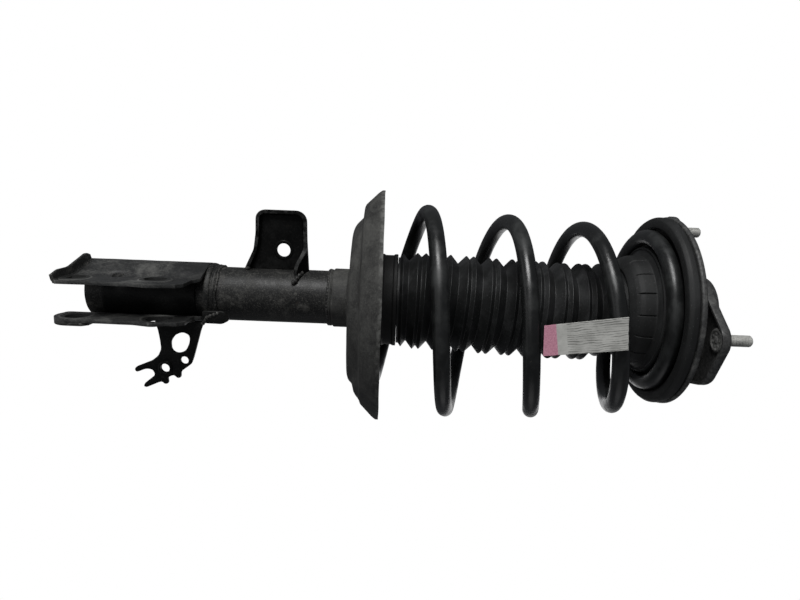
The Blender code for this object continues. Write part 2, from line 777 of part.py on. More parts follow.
def make_link_bracket():
    """A pressed tray that stands off the tube towards -X and carries the stabiliser link."""
    thickness = 3.2 * MM
    corner = 7.0 * MM
    edge = [
        (-10.0 * MM, -418.5 * MM),
        (-26.0 * MM, -418.5 * MM),
        (-44.0 * MM, -410.2 * MM),
        (-60.0 * MM, -408.3 * MM),
        *arc(-74.0 * MM, -401.2 * MM, corner, -90, -180, 6),
        *arc(-72.0 * MM, -371.0 * MM, corner + 2.0 * MM, 180, 90, 6),
        (-54.0 * MM, -361.6 * MM),
        (-26.0 * MM, -359.8 * MM),
        (-10.0 * MM, -359.8 * MM),
    ]
    link_hole = hole(-44.0 * MM, -382.7 * MM, 6.35 * MM, 24)
    body = plate("link_bracket", [edge, link_hole], thickness, black_paint, facing_y(0.0))
    rim = []
    for i, (x, z) in enumerate(edge):
        far_side = smoothstep(-400.0 * MM, -375.0 * MM, z)
        flare = far_side * (1 - smoothstep(26.0 * MM, 50.0 * MM, -x))
        depth = 8.0 * MM + 15.0 * MM * flare
        rim.append([(x, 0.2 * MM, z), (x, -depth, z)])
    boolean(body, sheet("link_rim", rim, thickness, black_paint), "UNION")
    boolean(body, rod_cutter("tube_space", TUBE_R + GAP, -0.45, -0.33, flat_at(0.0)))


clear_scene()
strut = new_collection("strut_assembly")
cutters = new_collection("cutters")

black_paint = paint("black_paint", (0.018, 0.018, 0.019), 0.45)
dusty_steel = paint("dusty_steel", (0.055, 0.055, 0.055), 0.75)
zinc_black = paint("zinc_black", (0.05, 0.05, 0.052), 0.4, 0.5)
zinc = paint("zinc", (0.42, 0.42, 0.40), 0.4, 0.9)
chrome = paint("chrome", (0.6, 0.6, 0.6), 0.12, 1.0)
spring_paint = paint("spring_paint", (0.022, 0.023, 0.024), 0.33)
rubber = paint("rubber", (0.02, 0.02, 0.021), 0.7)
foam = paint("foam", (0.35, 0.31, 0.2), 0.85)
race_plastic = paint("race_plastic", (0.03, 0.03, 0.03), 0.5)
paper = paint("paper", (0.8, 0.79, 0.76), 0.8)

riders_on = new_body("mount_body")
make_mount_plate()
make_studs()
make_mount_core()
make_race("bearing_upper_race", -12.5 * MM, -6.9 * MM)
make_rod()
make_piston()
make_bump_stop()

riders_on = new_body("bearing_body", bpy.data.objects["mount_body"])
make_bearing_cage()

riders_on = new_body("upper_seat_body", bpy.data.objects["mount_body"])
make_race("bearing_lower_race", -21.1 * MM, -17.6 * MM)
make_upper_seat()
make_upper_insulator()
make_spring()
make_label()
make_boot()

riders_on = new_body("damper_body", bpy.data.objects["upper_seat_body"])
make_tube()
make_boot_retainer()
make_lower_seat()
make_lower_insulator()
make_knuckle_bracket()
make_bracket_closure()
make_band()
make_hose_bracket()
make_link_bracket()
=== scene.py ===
"""The looks of a MacPherson front strut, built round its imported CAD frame.

The strut stands along +Z with its studs up. The camera lies on its side, so the strut runs from left to right.
"""

from math import atan2, cos, degrees, hypot, pi, radians, sin, sqrt, tan, tau

import bmesh
import bpy
from mathutils import Matrix, Vector, noise


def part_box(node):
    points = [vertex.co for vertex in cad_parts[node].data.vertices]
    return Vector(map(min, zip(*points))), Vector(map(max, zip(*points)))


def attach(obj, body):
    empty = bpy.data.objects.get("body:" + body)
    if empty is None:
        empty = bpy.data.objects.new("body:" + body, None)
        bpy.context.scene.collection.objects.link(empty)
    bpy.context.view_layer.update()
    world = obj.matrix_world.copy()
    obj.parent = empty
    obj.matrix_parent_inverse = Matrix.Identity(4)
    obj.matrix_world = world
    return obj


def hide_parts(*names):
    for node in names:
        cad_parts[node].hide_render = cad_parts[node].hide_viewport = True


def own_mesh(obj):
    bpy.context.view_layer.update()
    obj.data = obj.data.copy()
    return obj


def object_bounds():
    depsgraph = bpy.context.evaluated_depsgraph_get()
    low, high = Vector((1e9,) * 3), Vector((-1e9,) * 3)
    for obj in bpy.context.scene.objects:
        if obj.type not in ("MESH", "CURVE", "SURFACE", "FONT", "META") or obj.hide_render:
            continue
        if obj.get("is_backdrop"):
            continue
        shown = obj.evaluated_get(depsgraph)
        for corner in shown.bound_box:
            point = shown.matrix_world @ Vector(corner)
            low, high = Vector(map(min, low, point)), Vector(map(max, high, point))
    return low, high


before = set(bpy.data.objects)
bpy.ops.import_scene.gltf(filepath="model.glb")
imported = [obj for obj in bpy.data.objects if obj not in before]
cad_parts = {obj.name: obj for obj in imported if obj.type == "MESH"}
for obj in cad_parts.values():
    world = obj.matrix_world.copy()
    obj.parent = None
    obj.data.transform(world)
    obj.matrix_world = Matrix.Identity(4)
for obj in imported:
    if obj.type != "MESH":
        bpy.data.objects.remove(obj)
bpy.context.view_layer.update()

MM = 0.001
STEPS = 144


# ---------------------------------------------------------------- small helpers


def smoothstep(low, high, value):
    share = min(max((value - low) / (high - low), 0.0), 1.0)
    return share * share * (3 - 2 * share)


def bump_at(centre, half_width, value):
    """1 at the centre, falling smoothly to 0 at half_width on either side."""
    return 1 - smoothstep(0.0, half_width, abs(value - centre))


def rough(point, scale, seed=0.0):
    """Smooth noise from about -1 to 1, the same each time."""
    return noise.noise(Vector(point) * scale + Vector((seed, 2.0 * seed, -seed)))


def arc(centre_u, centre_v, radius, start, end, pieces):
    steps = [radians(start + (end - start) * i / pieces) for i in range(pieces + 1)]
    return [(centre_u + radius * cos(a), centre_v + radius * sin(a)) for a in steps]


def circle(centre_u, centre_v, radius, pieces=48):
    return arc(centre_u, centre_v, radius, 0, 360 * (pieces - 1) / pieces, pieces - 1)


def in_mm(points):
    return [tuple(value * MM for value in point) for point in points]


def rounded(points, radius, pieces=4, closed=True):
    """The outline with each corner replaced by a small curve that starts radius before it."""
    count = len(points)
    made = []
    for i, point in enumerate(points):
        if not closed and i in (0, count - 1):
            made.append(point)
            continue
        here = Vector(point)
        before = Vector(points[i - 1])
        after = Vector(points[(i + 1) % count])
        back = min(radius, 0.45 * (before - here).length)
        ahead = min(radius, 0.45 * (after - here).length)
        start = here + (before - here).normalized() * back
        end = here + (after - here).normalized() * ahead
        for step in range(pieces + 1):
            t = step / pieces
            spot = start * (1 - t) ** 2 + here * 2 * t * (1 - t) + end * t * t
            made.append(tuple(spot))
    return made


def spaced(points, distance):
    """The same line with extra points, so that none is further than distance from the next."""
    made = [points[0]]
    for start, end in zip(points, points[1:]):
        a, b = Vector(start), Vector(end)
        pieces = max(1, round((b - a).length / distance))
        for i in range(1, pieces + 1):
            made.append(tuple(a.lerp(b, i / pieces)))
    return made


def piece(name, points, faces, finish, body, replaces=(), sharp=40):
    """A closed mesh that rides on a body and wears a finish."""
    mesh = bpy.data.meshes.new(name)
    mesh.from_pydata([tuple(p) for p in points], [], faces)
    work = bmesh.new()
    work.from_mesh(mesh)
    bmesh.ops.remove_doubles(work, verts=work.verts, dist=0.002 * MM)
    bmesh.ops.recalc_face_normals(work, faces=work.faces)
    work.to_mesh(mesh)
    work.free()
    return dress(bpy.data.objects.new(name, mesh), finish, body, replaces, sharp)


def dress(made, finish, body, replaces=(), sharp=40):
    made.data.shade_smooth()
    made.data.set_sharp_from_angle(angle=radians(sharp))
    made.data.materials.clear()
    made.data.materials.append(finish)
    if not made.users_collection:
        bpy.context.scene.collection.objects.link(made)
    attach(made, body)
    if replaces:
        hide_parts(*replaces)
    return made


def keep_rest_place(made):
    """Stores where each point lies at rest, so that a finish stays put when the piece is squashed."""
    places = made.data.attributes.new("rest_place", "FLOAT_VECTOR", "POINT")
    for point, place in zip(made.data.vertices, places.data):
        place.vector = point.co


def joined(name, *parts):
    """Several meshes, given as (points, faces), as one."""
    points = []
    faces = []
    for more_points, more_faces in parts:
        start = len(points)
        points.extend(more_points)
        faces.extend(tuple(i + start for i in face) for face in more_faces)
    return points, faces


def lathe(profile, steps=STEPS, centre=(0.0, 0.0), closed=True, warp=None):
    """A profile of (radius, z) points turned about Z. An open one starts and ends on the axis."""
    points = []
    for i in range(steps):
        angle = tau * i / steps
        for r, z in profile:
            spot = Vector((r * cos(angle), r * sin(angle), z))
            if warp:
                spot = warp(spot)
            points.append((spot.x + centre[0], spot.y + centre[1], spot.z))
    count = len(profile)
    faces = []
    for i in range(steps):
        here = i * count
        there = ((i + 1) % steps) * count
        for j in range(count if closed else count - 1):
            k = (j + 1) % count
            corners = [here + j, there + j, there + k, here + k]
            if profile[j][0] < 1e-7:
                corners = [here + j, there + k, here + k]
            if profile[k][0] < 1e-7:
                corners = [here + j, there + j, here + k]
            faces.append(tuple(corners))
    return points, faces


def turned(name, profile, finish, body, slot, replaces=(), soften=0.5 * MM, **how):
    closed = how.get("closed", True)
    smooth = rounded(profile, soften, 3, closed) if soften else profile
    points, faces = lathe(smooth, **how)
    return piece(name, points, faces, finish, body, replaces)


def tube_along(line, radius_at, around=20):
    """A closed round bar along a line of points; radius_at gives its radius at each share."""
    spots = [Vector(p) for p in line]
    points = []
    side = None
    for i, spot in enumerate(spots):
        ahead = spots[min(i + 1, len(spots) - 1)] - spots[max(i - 1, 0)]
        ahead.normalize()
        if side is None:
            side = ahead.orthogonal().normalized()
        side = (side - ahead * side.dot(ahead)).normalized()
        up = ahead.cross(side)
        radius = radius_at(i / (len(spots) - 1))
        for j in range(around):
            angle = tau * j / around
            points.append(spot + side * radius * cos(angle) + up * radius * sin(angle))
    faces = []
    for i in range(len(spots) - 1):
        for j in range(around):
            k = (j + 1) % around
            faces.append((i * around + j, i * around + k, (i + 1) * around + k, (i + 1) * around + j))
    faces.append(tuple(range(around)))
    last = (len(spots) - 1) * around
    faces.append(tuple(last + j for j in range(around)))
    return points, faces


def weld_bead(name, line, radius, finish, body):
    """A lumpy fillet of weld metal along a line."""
    spots = spaced(line, 0.8 * MM)
    ripples = len(spots)

    def radius_at(share):
        ends = min(1.0, 8 * share + 0.35, 8 * (1 - share) + 0.35)
        ripple = 0.12 * sin(share * ripples * 1.3)
        lump = 0.16 * rough((share * ripples * 0.21, 0.0, 0.0), 1.0, radius * 1e4)
        return radius * ends * (1 + ripple + lump)

    points, faces = tube_along(spots, radius_at, 14)
    return piece(name, points, faces, finish, body, sharp=80)


def evaluated(thing):
    """The object's mesh with its modifiers applied; the object itself is removed."""
    bpy.context.view_layer.update()
    graph = bpy.context.evaluated_depsgraph_get()
    mesh = bpy.data.meshes.new_from_object(thing.evaluated_get(graph))
    bpy.data.objects.remove(thing, do_unlink=True)
    return mesh


def plate_mesh(name, outlines, thickness, edge=0.6 * MM):
    """A flat plate in its own XY plane with rounded-off edges: the outlines after the first are holes."""
    curve = bpy.data.curves.new(name, "CURVE")
    curve.dimensions = "2D"
    curve.fill_mode = "BOTH"
    curve.extrude = thickness / 2
    for outline in outlines:
        spline = curve.splines.new("POLY")
        spline.points.add(len(outline) - 1)
        for point, (u, v) in zip(spline.points, outline):
            point.co = (u, v, 0.0, 1.0)
        spline.use_cyclic_u = True
    helper = bpy.data.objects.new(name + "_outline", curve)
    bpy.context.scene.collection.objects.link(helper)
    mesh = evaluated(helper)
    bpy.data.curves.remove(curve)
    work = bmesh.new()
    work.from_mesh(mesh)
    bmesh.ops.remove_doubles(work, verts=work.verts, dist=0.005 * MM)
    bmesh.ops.dissolve_limit(work, angle_limit=radians(1), verts=work.verts, edges=work.edges)
    rims = [e for e in work.edges if len(e.link_faces) == 2 and e.calc_face_angle(0) > 1.0]
    bmesh.ops.bevel(work, geom=rims, offset=edge, segments=3, profile=0.5, affect="EDGES")
    bmesh.ops.triangulate(work, faces=[f for f in work.faces if len(f.verts) > 4])
    bmesh.ops.recalc_face_normals(work, faces=work.faces)
    work.to_mesh(mesh)
    work.free()
    return mesh


def plate(name, outlines, thickness, matrix, finish, body, replaces=(), edge=0.6 * MM):
    mesh = plate_mesh(name, outlines, thickness, edge)
    mesh.transform(matrix)
    made = bpy.data.objects.new(name, mesh)
    return dress(made, finish, body, replaces, sharp=32)


def sheet_mesh(rows, thickness, edge=0.5 * MM):
    """A bent sheet of even thickness through a grid of points, with softened edges."""
    width = len(rows[0])
    faces = []
    for i in range(len(rows) - 1):
        for j in range(width - 1):
            corner = i * width + j
            faces.append((corner, corner + 1, corner + width + 1, corner + width))
    mesh = bpy.data.meshes.new("sheet")
    mesh.from_pydata([tuple(p) for row in rows for p in row], [], faces)
    helper = bpy.data.objects.new("sheet_helper", mesh)
    bpy.context.scene.collection.objects.link(helper)
    solid = helper.modifiers.new("Thickness", "SOLIDIFY")
    solid.thickness = thickness
    solid.offset = 0.0
    solid.use_even_offset = True
    bevel = helper.modifiers.new("Edges", "BEVEL")
    bevel.width = edge
    bevel.segments = 2
    bevel.limit_method = "ANGLE"
    bevel.angle_limit = radians(60)
    return evaluated(helper)


def parts_of(mesh):
    """A mesh as (points, faces)."""
    return [v.co.copy() for v in mesh.vertices], [tuple(p.vertices) for p in mesh.polygons]


def facing_x(x):
    """A frame whose plate lies in the YZ plane at this x: its u is Y and its v is Z."""
    return Matrix(((0, 0, 1, x), (1, 0, 0, 0), (0, 1, 0, 0), (0, 0, 0, 1)))


def facing_y(y):
    """A frame whose plate lies in the XZ plane at this y: its u is X and its v is Z."""
    return Matrix(((1, 0, 0, 0), (0, 0, -1, y), (0, 1, 0, 0), (0, 0, 0, 1)))


def out_from_axis(turn, radius):
    """A point round the mount: 0 degrees is -Y and 90 degrees is -X."""
    return -radius * sin(radians(turn)), -radius * cos(radians(turn))


# ---------------------------------------------------------------- finishes


class Finish:
    """A Principled material with a few shorthands for its procedural inputs."""

    def __init__(self, name, roughness, metallic=0.0, specular=0.5, sticks=False):
        self.material = bpy.data.materials.new(name)
        self.material.use_nodes = True
        self.tree = self.material.node_tree
        self.shader = self.tree.nodes["Principled BSDF"]
        self.shader.inputs["Roughness"].default_value = roughness
        self.shader.inputs["Metallic"].default_value = metallic
        self.shader.inputs["Specular IOR Level"].default_value = specular
        if sticks:
            place = self.tree.nodes.new("ShaderNodeAttribute")
            place.attribute_name = "rest_place"
            self.coords = place.outputs["Vector"]
        else:
            self.coords = self.tree.nodes.new("ShaderNodeTexCoord").outputs["Object"]

    def stretched(self, x, y, z):
        mapping = self.tree.nodes.new("ShaderNodeMapping")
        mapping.inputs["Scale"].default_value = (x, y, z)
        self.tree.links.new(self.coords, mapping.inputs["Vector"])
        return mapping.outputs["Vector"]

    def noise(self, scale, detail=6.0, roughness=0.6, distortion=0.0, coords=None):
        made = self.tree.nodes.new("ShaderNodeTexNoise")
        made.inputs["Scale"].default_value = scale
        made.inputs["Detail"].default_value = detail
        made.inputs["Roughness"].default_value = roughness
        made.inputs["Distortion"].default_value = distortion
        self.tree.links.new(coords or self.coords, made.inputs["Vector"])
        return made.outputs["Fac"]

    def cells(self, scale, coords=None):
        made = self.tree.nodes.new("ShaderNodeTexVoronoi")
        made.inputs["Scale"].default_value = scale
        self.tree.links.new(coords or self.coords, made.inputs["Vector"])
        return made.outputs["Distance"]

    def ramp(self, value, low, high, to_low=0.0, to_high=1.0):
        made = self.tree.nodes.new("ShaderNodeMapRange")
        made.interpolation_type = "SMOOTHSTEP"
        made.inputs["From Min"].default_value = low
        made.inputs["From Max"].default_value = high
        made.inputs["To Min"].default_value = to_low
        made.inputs["To Max"].default_value = to_high
        self.tree.links.new(value, made.inputs["Value"])
        return made.outputs["Result"]

    def math(self, operation, first, second):
        made = self.tree.nodes.new("ShaderNodeMath")
        made.operation = operation
        for socket, value in zip(made.inputs, (first, second)):
            if isinstance(value, (int, float)):
                socket.default_value = value
            else:
                self.tree.links.new(value, socket)
        return made.outputs["Value"]

    def mix(self, share, first, second):
        made = self.tree.nodes.new("ShaderNodeMix")
        made.data_type = "RGBA"
        self.tree.links.new(share, made.inputs["Factor"])
        for socket, value in ((made.inputs["A"], first), (made.inputs["B"], second)):
            if isinstance(value, tuple):
                socket.default_value = (*value, 1.0)
            else:
                self.tree.links.new(value, socket)
        return made.outputs["Result"]

    def worn_edges(self, low=0.52, high=0.60):
        """Where the surface is sharply convex, broken up by noise."""
        geometry = self.tree.nodes.new("ShaderNodeNewGeometry")
        edges = self.ramp(geometry.outputs["Pointiness"], low, high)
        return self.math("MULTIPLY", edges, self.ramp(self.noise(160.0), 0.42, 0.6))

    def colour(self, value):
        self.tree.links.new(value, self.shader.inputs["Base Color"])

    def roughness(self, value):
        self.tree.links.new(value, self.shader.inputs["Roughness"])

    def metallic(self, value):
        self.tree.links.new(value, self.shader.inputs["Metallic"])

    def bump(self, height, distance, strength=1.0):
        made = self.tree.nodes.new("ShaderNodeBump")
        made.inputs["Distance"].default_value = distance
        made.inputs["Strength"].default_value = strength
        self.tree.links.new(height, made.inputs["Height"])
        self.tree.links.new(made.outputs["Normal"], self.shader.inputs["Normal"])


def worn_paint(
    name, base, dust, rust, dust_from, dust_to, roughness, specular=0.4, bolt_marks_and_shade=False
):
    """Old satin paint: blotches of grey road dust, small rust spots and rubbed edges."""
    made = Finish(name, roughness[0], specular=specular)
    blotches = made.noise(34.0, 10.0, 0.74, 0.8)
    grain = made.noise(420.0, 4.0, 0.7)
    spots = made.noise(95.0, 8.0, 0.75, 0.3)
    both = made.math("ADD", blotches, made.math("MULTIPLY", grain, 0.35))
    dusty = made.mix(made.ramp(both, dust_from, dust_to), base, dust)
    rusty = made.mix(made.ramp(spots, 0.63, 0.74, 0.0, 0.7), dusty, rust)
    specks = made.ramp(made.noise(1000.0, 3.0, 0.75), 0.5, 0.72, 0.0, 0.55)
    grainy = made.mix(specks, rusty, tuple(c * 1.8 for c in dust))
    worn = made.mix(made.worn_edges(), grainy, tuple(min(1.0, c * 1.5 + 0.02) for c in dust))
    # This adds the bolt marks and painted shade that darkens the flanges towards the band.
    if bolt_marks_and_shade:
        worn = clamp_marks_and_painted_shade(made, worn, base, dust)
    made.colour(worn)
    made.roughness(made.ramp(both, dust_from - 0.1, dust_to, roughness[0], roughness[1]))
    scratches = made.noise(60.0, 3.0, 0.5, 0.0, made.stretched(9.0, 9.0, 0.8))
    made.bump(made.math("ADD", made.math("MULTIPLY", scratches, 0.3), both), 0.0004, 0.55)
    return made.material


def clamp_marks_and_painted_shade(made, worn, base, dust):
    """Clean black discs where the bolt heads sat, each with a rubbed pale ring round it, then painted shade that
    darkens the flanges towards the band at their top.
    """
    split = made.tree.nodes.new("ShaderNodeSeparateXYZ")
    made.tree.links.new(made.coords, split.inputs["Vector"])
    for level in (-557.5 * MM, -486.0 * MM):
        ahead = made.math("ADD", split.outputs["Y"], 48.3 * MM)
        above = made.math("SUBTRACT", split.outputs["Z"], level)
        squares = made.math("ADD", made.math("POWER", ahead, 2), made.math("POWER", above, 2))
        away = made.math("POWER", squares, 0.5)
        rubbed = made.math("ADD", away, made.math("MULTIPLY", made.noise(90.0), 3.0 * MM))
        disc = made.ramp(rubbed, 15.0 * MM, 14.2 * MM, 0.0, 0.85)
        ring = made.ramp(rubbed, 16.8 * MM, 15.2 * MM, 0.0, 0.6)
        pale = made.mix(ring, worn, tuple(c * 1.6 for c in dust))
        worn = made.mix(disc, pale, tuple(c * 0.5 for c in base))
    # Painted shade: the flanges grow darker towards the band above them, where its shadow falls.
    painted_shade_near_band = made.ramp(split.outputs["Z"], -494.0 * MM, -464.0 * MM, 0.0, 0.65)
    return made.mix(painted_shade_near_band, worn, tuple(c * 0.6 for c in base))


def spring_coat():
    """Semi-gloss black powder coat with fine orange peel, scuffs and a few chips."""
    made = Finish("spring_coat", 0.3, sticks=True)
    film = made.noise(38.0, 8.0, 0.65, 0.4)
    grain = made.noise(520.0, 3.0, 0.6)
    chips = made.noise(150.0, 5.0, 0.8)
    scuffed = made.mix(made.ramp(film, 0.45, 0.72), (0.009, 0.0096, 0.0096), (0.027, 0.029, 0.0285))
    chipped = made.mix(made.ramp(chips, 0.71, 0.76, 0.0, 0.9), scuffed, (0.21, 0.2, 0.165))
    made.colour(chipped)
    made.roughness(made.ramp(film, 0.35, 0.7, 0.26, 0.5))
    made.bump(made.math("ADD", film, made.math("MULTIPLY", grain, 0.4)), 0.0003, 0.5)
    return made.material


def rubber_finish(name, base, bloom, roughness, scale=30.0, sticks=False):
    """Moulded rubber with a grey bloom in patches, mould grain and a little dust."""
    made = Finish(name, roughness, specular=0.42, sticks=sticks)
    patches = made.noise(scale, 8.0, 0.66, 0.5)
    grain = made.noise(650.0, 3.0, 0.65)
    specks = made.cells(330.0, made.stretched(1.0, 1.0, 1.0))
    bloomed = made.mix(made.ramp(patches, 0.42, 0.78), base, bloom)
    dust = tuple(min(1.0, c * 2.2 + 0.03) for c in bloom)
    made.colour(made.mix(made.ramp(specks, 0.16, 0.06, 0.0, 0.5), bloomed, dust))
    made.roughness(made.ramp(patches, 0.3, 0.8, roughness - 0.08, roughness + 0.16))
    made.bump(made.math("ADD", grain, made.math("MULTIPLY", patches, 0.8)), 0.00035, 0.5)
    return made.material


def zinc_finish(name, base, dark, white, roughness, metallic):
    """Passivated zinc: crystal-like mottle, dull patches and pale salts."""
    made = Finish(name, roughness, metallic)
    crystals = made.noise(210.0, 6.0, 0.7, 1.2)
    patches = made.noise(45.0, 7.0, 0.7, 0.6)
    mottled = made.mix(made.ramp(crystals, 0.36, 0.64), dark, base)
    salted = made.mix(made.ramp(patches, 0.52, 0.74, 0.0, 0.75), mottled, white)
    made.colour(salted)
    made.metallic(made.ramp(patches, 0.5, 0.75, metallic, metallic * 0.4))
    made.roughness(made.ramp(crystals, 0.3, 0.7, roughness + 0.18, roughness - 0.05))
    made.bump(crystals, 0.00025, 0.55)
    return made.material


def polished_chrome():
    made = Finish("polished_chrome", 0.1, 1.0)
    haze = made.noise(80.0, 5.0, 0.6, 0.0, made.stretched(1.0, 1.0, 6.0))
    made.colour(made.mix(made.ramp(haze, 0.3, 0.8), (0.62, 0.62, 0.63), (0.45, 0.45, 0.46)))
    made.roughness(made.ramp(haze, 0.3, 0.8, 0.07, 0.24))
    made.bump(haze, 0.00005, 0.4)
    return made.material


def foam_finish():
    made = Finish("cell_foam", 0.85)
    cells = made.cells(700.0)
    tone = made.noise(60.0, 6.0)
    made.colour(made.mix(made.ramp(tone, 0.3, 0.7), (0.36, 0.3, 0.19), (0.24, 0.2, 0.13)))
    made.bump(cells, 0.0005, 0.8)
    return made.material


def label_paper():
    """Off-white paper with a pink block at its lower end, a grey column and fine ruled lines."""
    made = Finish("label_paper", 0.7, specular=0.3, sticks=True)
    split = made.tree.nodes.new("ShaderNodeSeparateXYZ")
    made.tree.links.new(made.coords, split.inputs["Vector"])
    x, z = split.outputs["X"], split.outputs["Z"]
    along = made.math("ADD", z, made.math("MULTIPLY", x, -0.11))
    fibres = made.noise(900.0, 4.0, 0.7)
    stain = made.noise(70.0, 6.0, 0.65)
    paper = made.mix(made.ramp(stain, 0.35, 0.75), (0.47, 0.47, 0.445), (0.32, 0.32, 0.3))
    across = made.math("ADD", x, made.math("MULTIPLY", z, 0.125))
    wobble = made.math("MULTIPLY", made.noise(55.0, 2.0), 0.004)
    lines = made.math("SINE", made.math("MULTIPLY", made.math("ADD", across, wobble), 3500.0), 0.0)
    breaks = made.noise(240.0, 4.0, 0.8, 0.0, made.stretched(1.0, 1.0, 0.22))
    ink = made.math("MULTIPLY", made.ramp(lines, -0.1, 0.8), made.ramp(breaks, 0.36, 0.6))
    printed = made.mix(made.math("MULTIPLY", ink, 0.75), paper, (0.06, 0.06, 0.055))
    in_lines = made.ramp(along, -0.1400, -0.1392)
    body = made.mix(in_lines, paper, printed)
    pink = made.mix(made.ramp(fibres, 0.3, 0.7), (0.4, 0.17, 0.235), (0.58, 0.28, 0.36))
    made.colour(made.mix(made.ramp(along, -0.1472, -0.1480), body, pink))
    made.bump(made.math("ADD", fibres, made.math("MULTIPLY", lines, 0.15)), 0.00012, 0.5)
    return made.material


black_paint = worn_paint(
    "worn_black_paint", (0.008, 0.0083, 0.0083), (0.085, 0.083, 0.077), (0.06, 0.042, 0.03),
    0.66, 0.92, (0.4, 0.7), 0.24,
)
# A darker copy of the black paint with little dust: painted shade for the plate inside the bracket and the hose
# bracket, which sit in the strut's shadow.
shaded_black_paint = worn_paint(
    "black_paint_with_painted_shade", (0.003, 0.0032, 0.0032), (0.018, 0.018, 0.017), (0.015, 0.013, 0.011),
    0.74, 1.0, (0.45, 0.65), 0.16,
)
# Black paint for the bracket's flanges, with bolt marks and painted shade towards the band.
flange_paint = worn_paint(
    "rubbed_black_paint", (0.015, 0.0155, 0.016), (0.085, 0.085, 0.08), (0.05, 0.042, 0.034),
    0.6, 0.9, (0.42, 0.66), bolt_marks_and_shade=True,
)
link_paint = worn_paint(
    "matt_black_paint", (0.0016, 0.0017, 0.0017), (0.011, 0.011, 0.0105), (0.02, 0.018, 0.016),
    0.74, 1.04, (0.5, 0.7), 0.1,
)
dusty_paint = worn_paint(
    "dusty_grey_paint", (0.011, 0.011, 0.0107), (0.062, 0.062, 0.058), (0.006, 0.0055, 0.005),
    0.5, 0.9, (0.55, 0.8), 0.34,
)
spring_paint = spring_coat()
boot_rubber = rubber_finish(
    "boot_rubber", (0.0075, 0.008, 0.008), (0.03, 0.031, 0.032), 0.48, sticks=True
)
black_rubber = rubber_finish("black_rubber", (0.005, 0.0052, 0.0052), (0.012, 0.0125, 0.0125), 0.62)
grey_rubber = rubber_finish(
    "insulator_rubber", (0.0085, 0.009, 0.009), (0.024, 0.025, 0.0255), 0.66, 22.0
)
dark_zinc = zinc_finish(
    "dark_zinc", (0.075, 0.076, 0.075), (0.028, 0.028, 0.028), (0.17, 0.17, 0.16), 0.5, 0.25
)
bright_zinc = zinc_finish(
    "bright_zinc", (0.47, 0.47, 0.445), (0.29, 0.29, 0.275), (0.56, 0.56, 0.53), 0.48, 0.35
)
stud_head_zinc = zinc_finish(
    "dull_zinc", (0.24, 0.24, 0.23), (0.1, 0.1, 0.097), (0.35, 0.35, 0.34), 0.5, 0.3
)
chrome = polished_chrome()
foam = foam_finish()
paper = label_paper()


# ---------------------------------------------------------------- damper tube and seat

tube_low, tube_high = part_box("strut_tube")
TUBE_R = tube_high.x
TUBE_WALL = 2.5 * MM
tube_bore = TUBE_R - TUBE_WALL

tube_wall = [
    (TUBE_R, tube_high.z),
    (TUBE_R, tube_low.z),
    (tube_bore, tube_low.z),
    (tube_bore, tube_high.z),
]


def dented(spot):
    """A drawn tube is not quite round: its skin waves by a tenth of a millimetre."""
    wave = 0.09 * MM * rough((spot.x, spot.y, spot.z * 0.5), 55.0)
    outward = Vector((spot.x, spot.y, 0.0)).normalized()
    return spot + outward * wave


long_wall = spaced(rounded(tube_wall, 0.6 * MM, 3) + [tube_wall[0]], 6 * MM)[:-1]
points, faces = lathe(long_wall, warp=dented)
piece("damper_tube", points, faces, black_paint, "damper_body", ["strut_tube"])

cap_low, cap_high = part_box("base_cap")
turned(
    "damper_base",
    [
        (0.0, cap_high.z),
        (cap_high.x, cap_high.z),
        (cap_high.x, cap_low.z + 3.6 * MM),
        (17.0 * MM, cap_low.z + 0.9 * MM),
        (11.0 * MM, cap_low.z + 1.6 * MM),
        (0.0, cap_low.z + 1.2 * MM),
    ],
    black_paint, "damper_body", "black_paint", ["base_cap"], closed=False,
)

collar_low, collar_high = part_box("seat_collar")
COLLAR_R = collar_high.x
turned(
    "seat_sleeve",
    [
        (TUBE_R + 0.3 * MM, collar_low.z),
        (COLLAR_R - 0.9 * MM, collar_low.z),
        (COLLAR_R - 0.9 * MM, collar_low.z + 2.4 * MM),
        (COLLAR_R - 1.6 * MM, collar_low.z + 3.2 * MM),
        (COLLAR_R, collar_low.z + 4.4 * MM),
        (COLLAR_R, collar_high.z - 1.5 * MM),
        (COLLAR_R + 2.5 * MM, collar_high.z + 0.4 * MM),
        (TUBE_R + 0.3 * MM, collar_high.z + 0.4 * MM),
    ],
    dusty_paint, "damper_body", "dusty_steel", ["seat_collar"],
)


def ring_line(radius, z, start=0, end=360, wave=0.0):
    count = 120
    spots = []
    for i in range(count + 1):
        angle = radians(start + (end - start) * i / count)
        level = z + wave * sin(5 * angle) + 0.5 * wave * sin(13 * angle + 1)
        spots.append((radius * cos(angle), radius * sin(angle), level))
    return spots


weld_bead(
    "sleeve_weld", ring_line(TUBE_R + 0.6 * MM, collar_low.z, wave=0.4 * MM), 1.3 * MM,
    black_paint, "damper_body",
)

# The pan is centred on the spring, in front of the rod, and its well sinks towards +X.
pan_low, pan_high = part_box("lower_spring_seat")
SPRING_X = (pan_low.x + pan_high.x) / 2
SPRING_Y = (pan_low.y + pan_high.y) / 2
RIM_R = (pan_high.x - pan_low.x) / 2
PAN_T = 2.5 * MM
FLOOR_Z = -314.9 * MM
WELL_R = 71.0 * MM
WELL_TILT = 1.0 * MM
PAN_LEAN = 0.03
RIM_Z = pan_high.z - PAN_T / 2 - PAN_LEAN * RIM_R


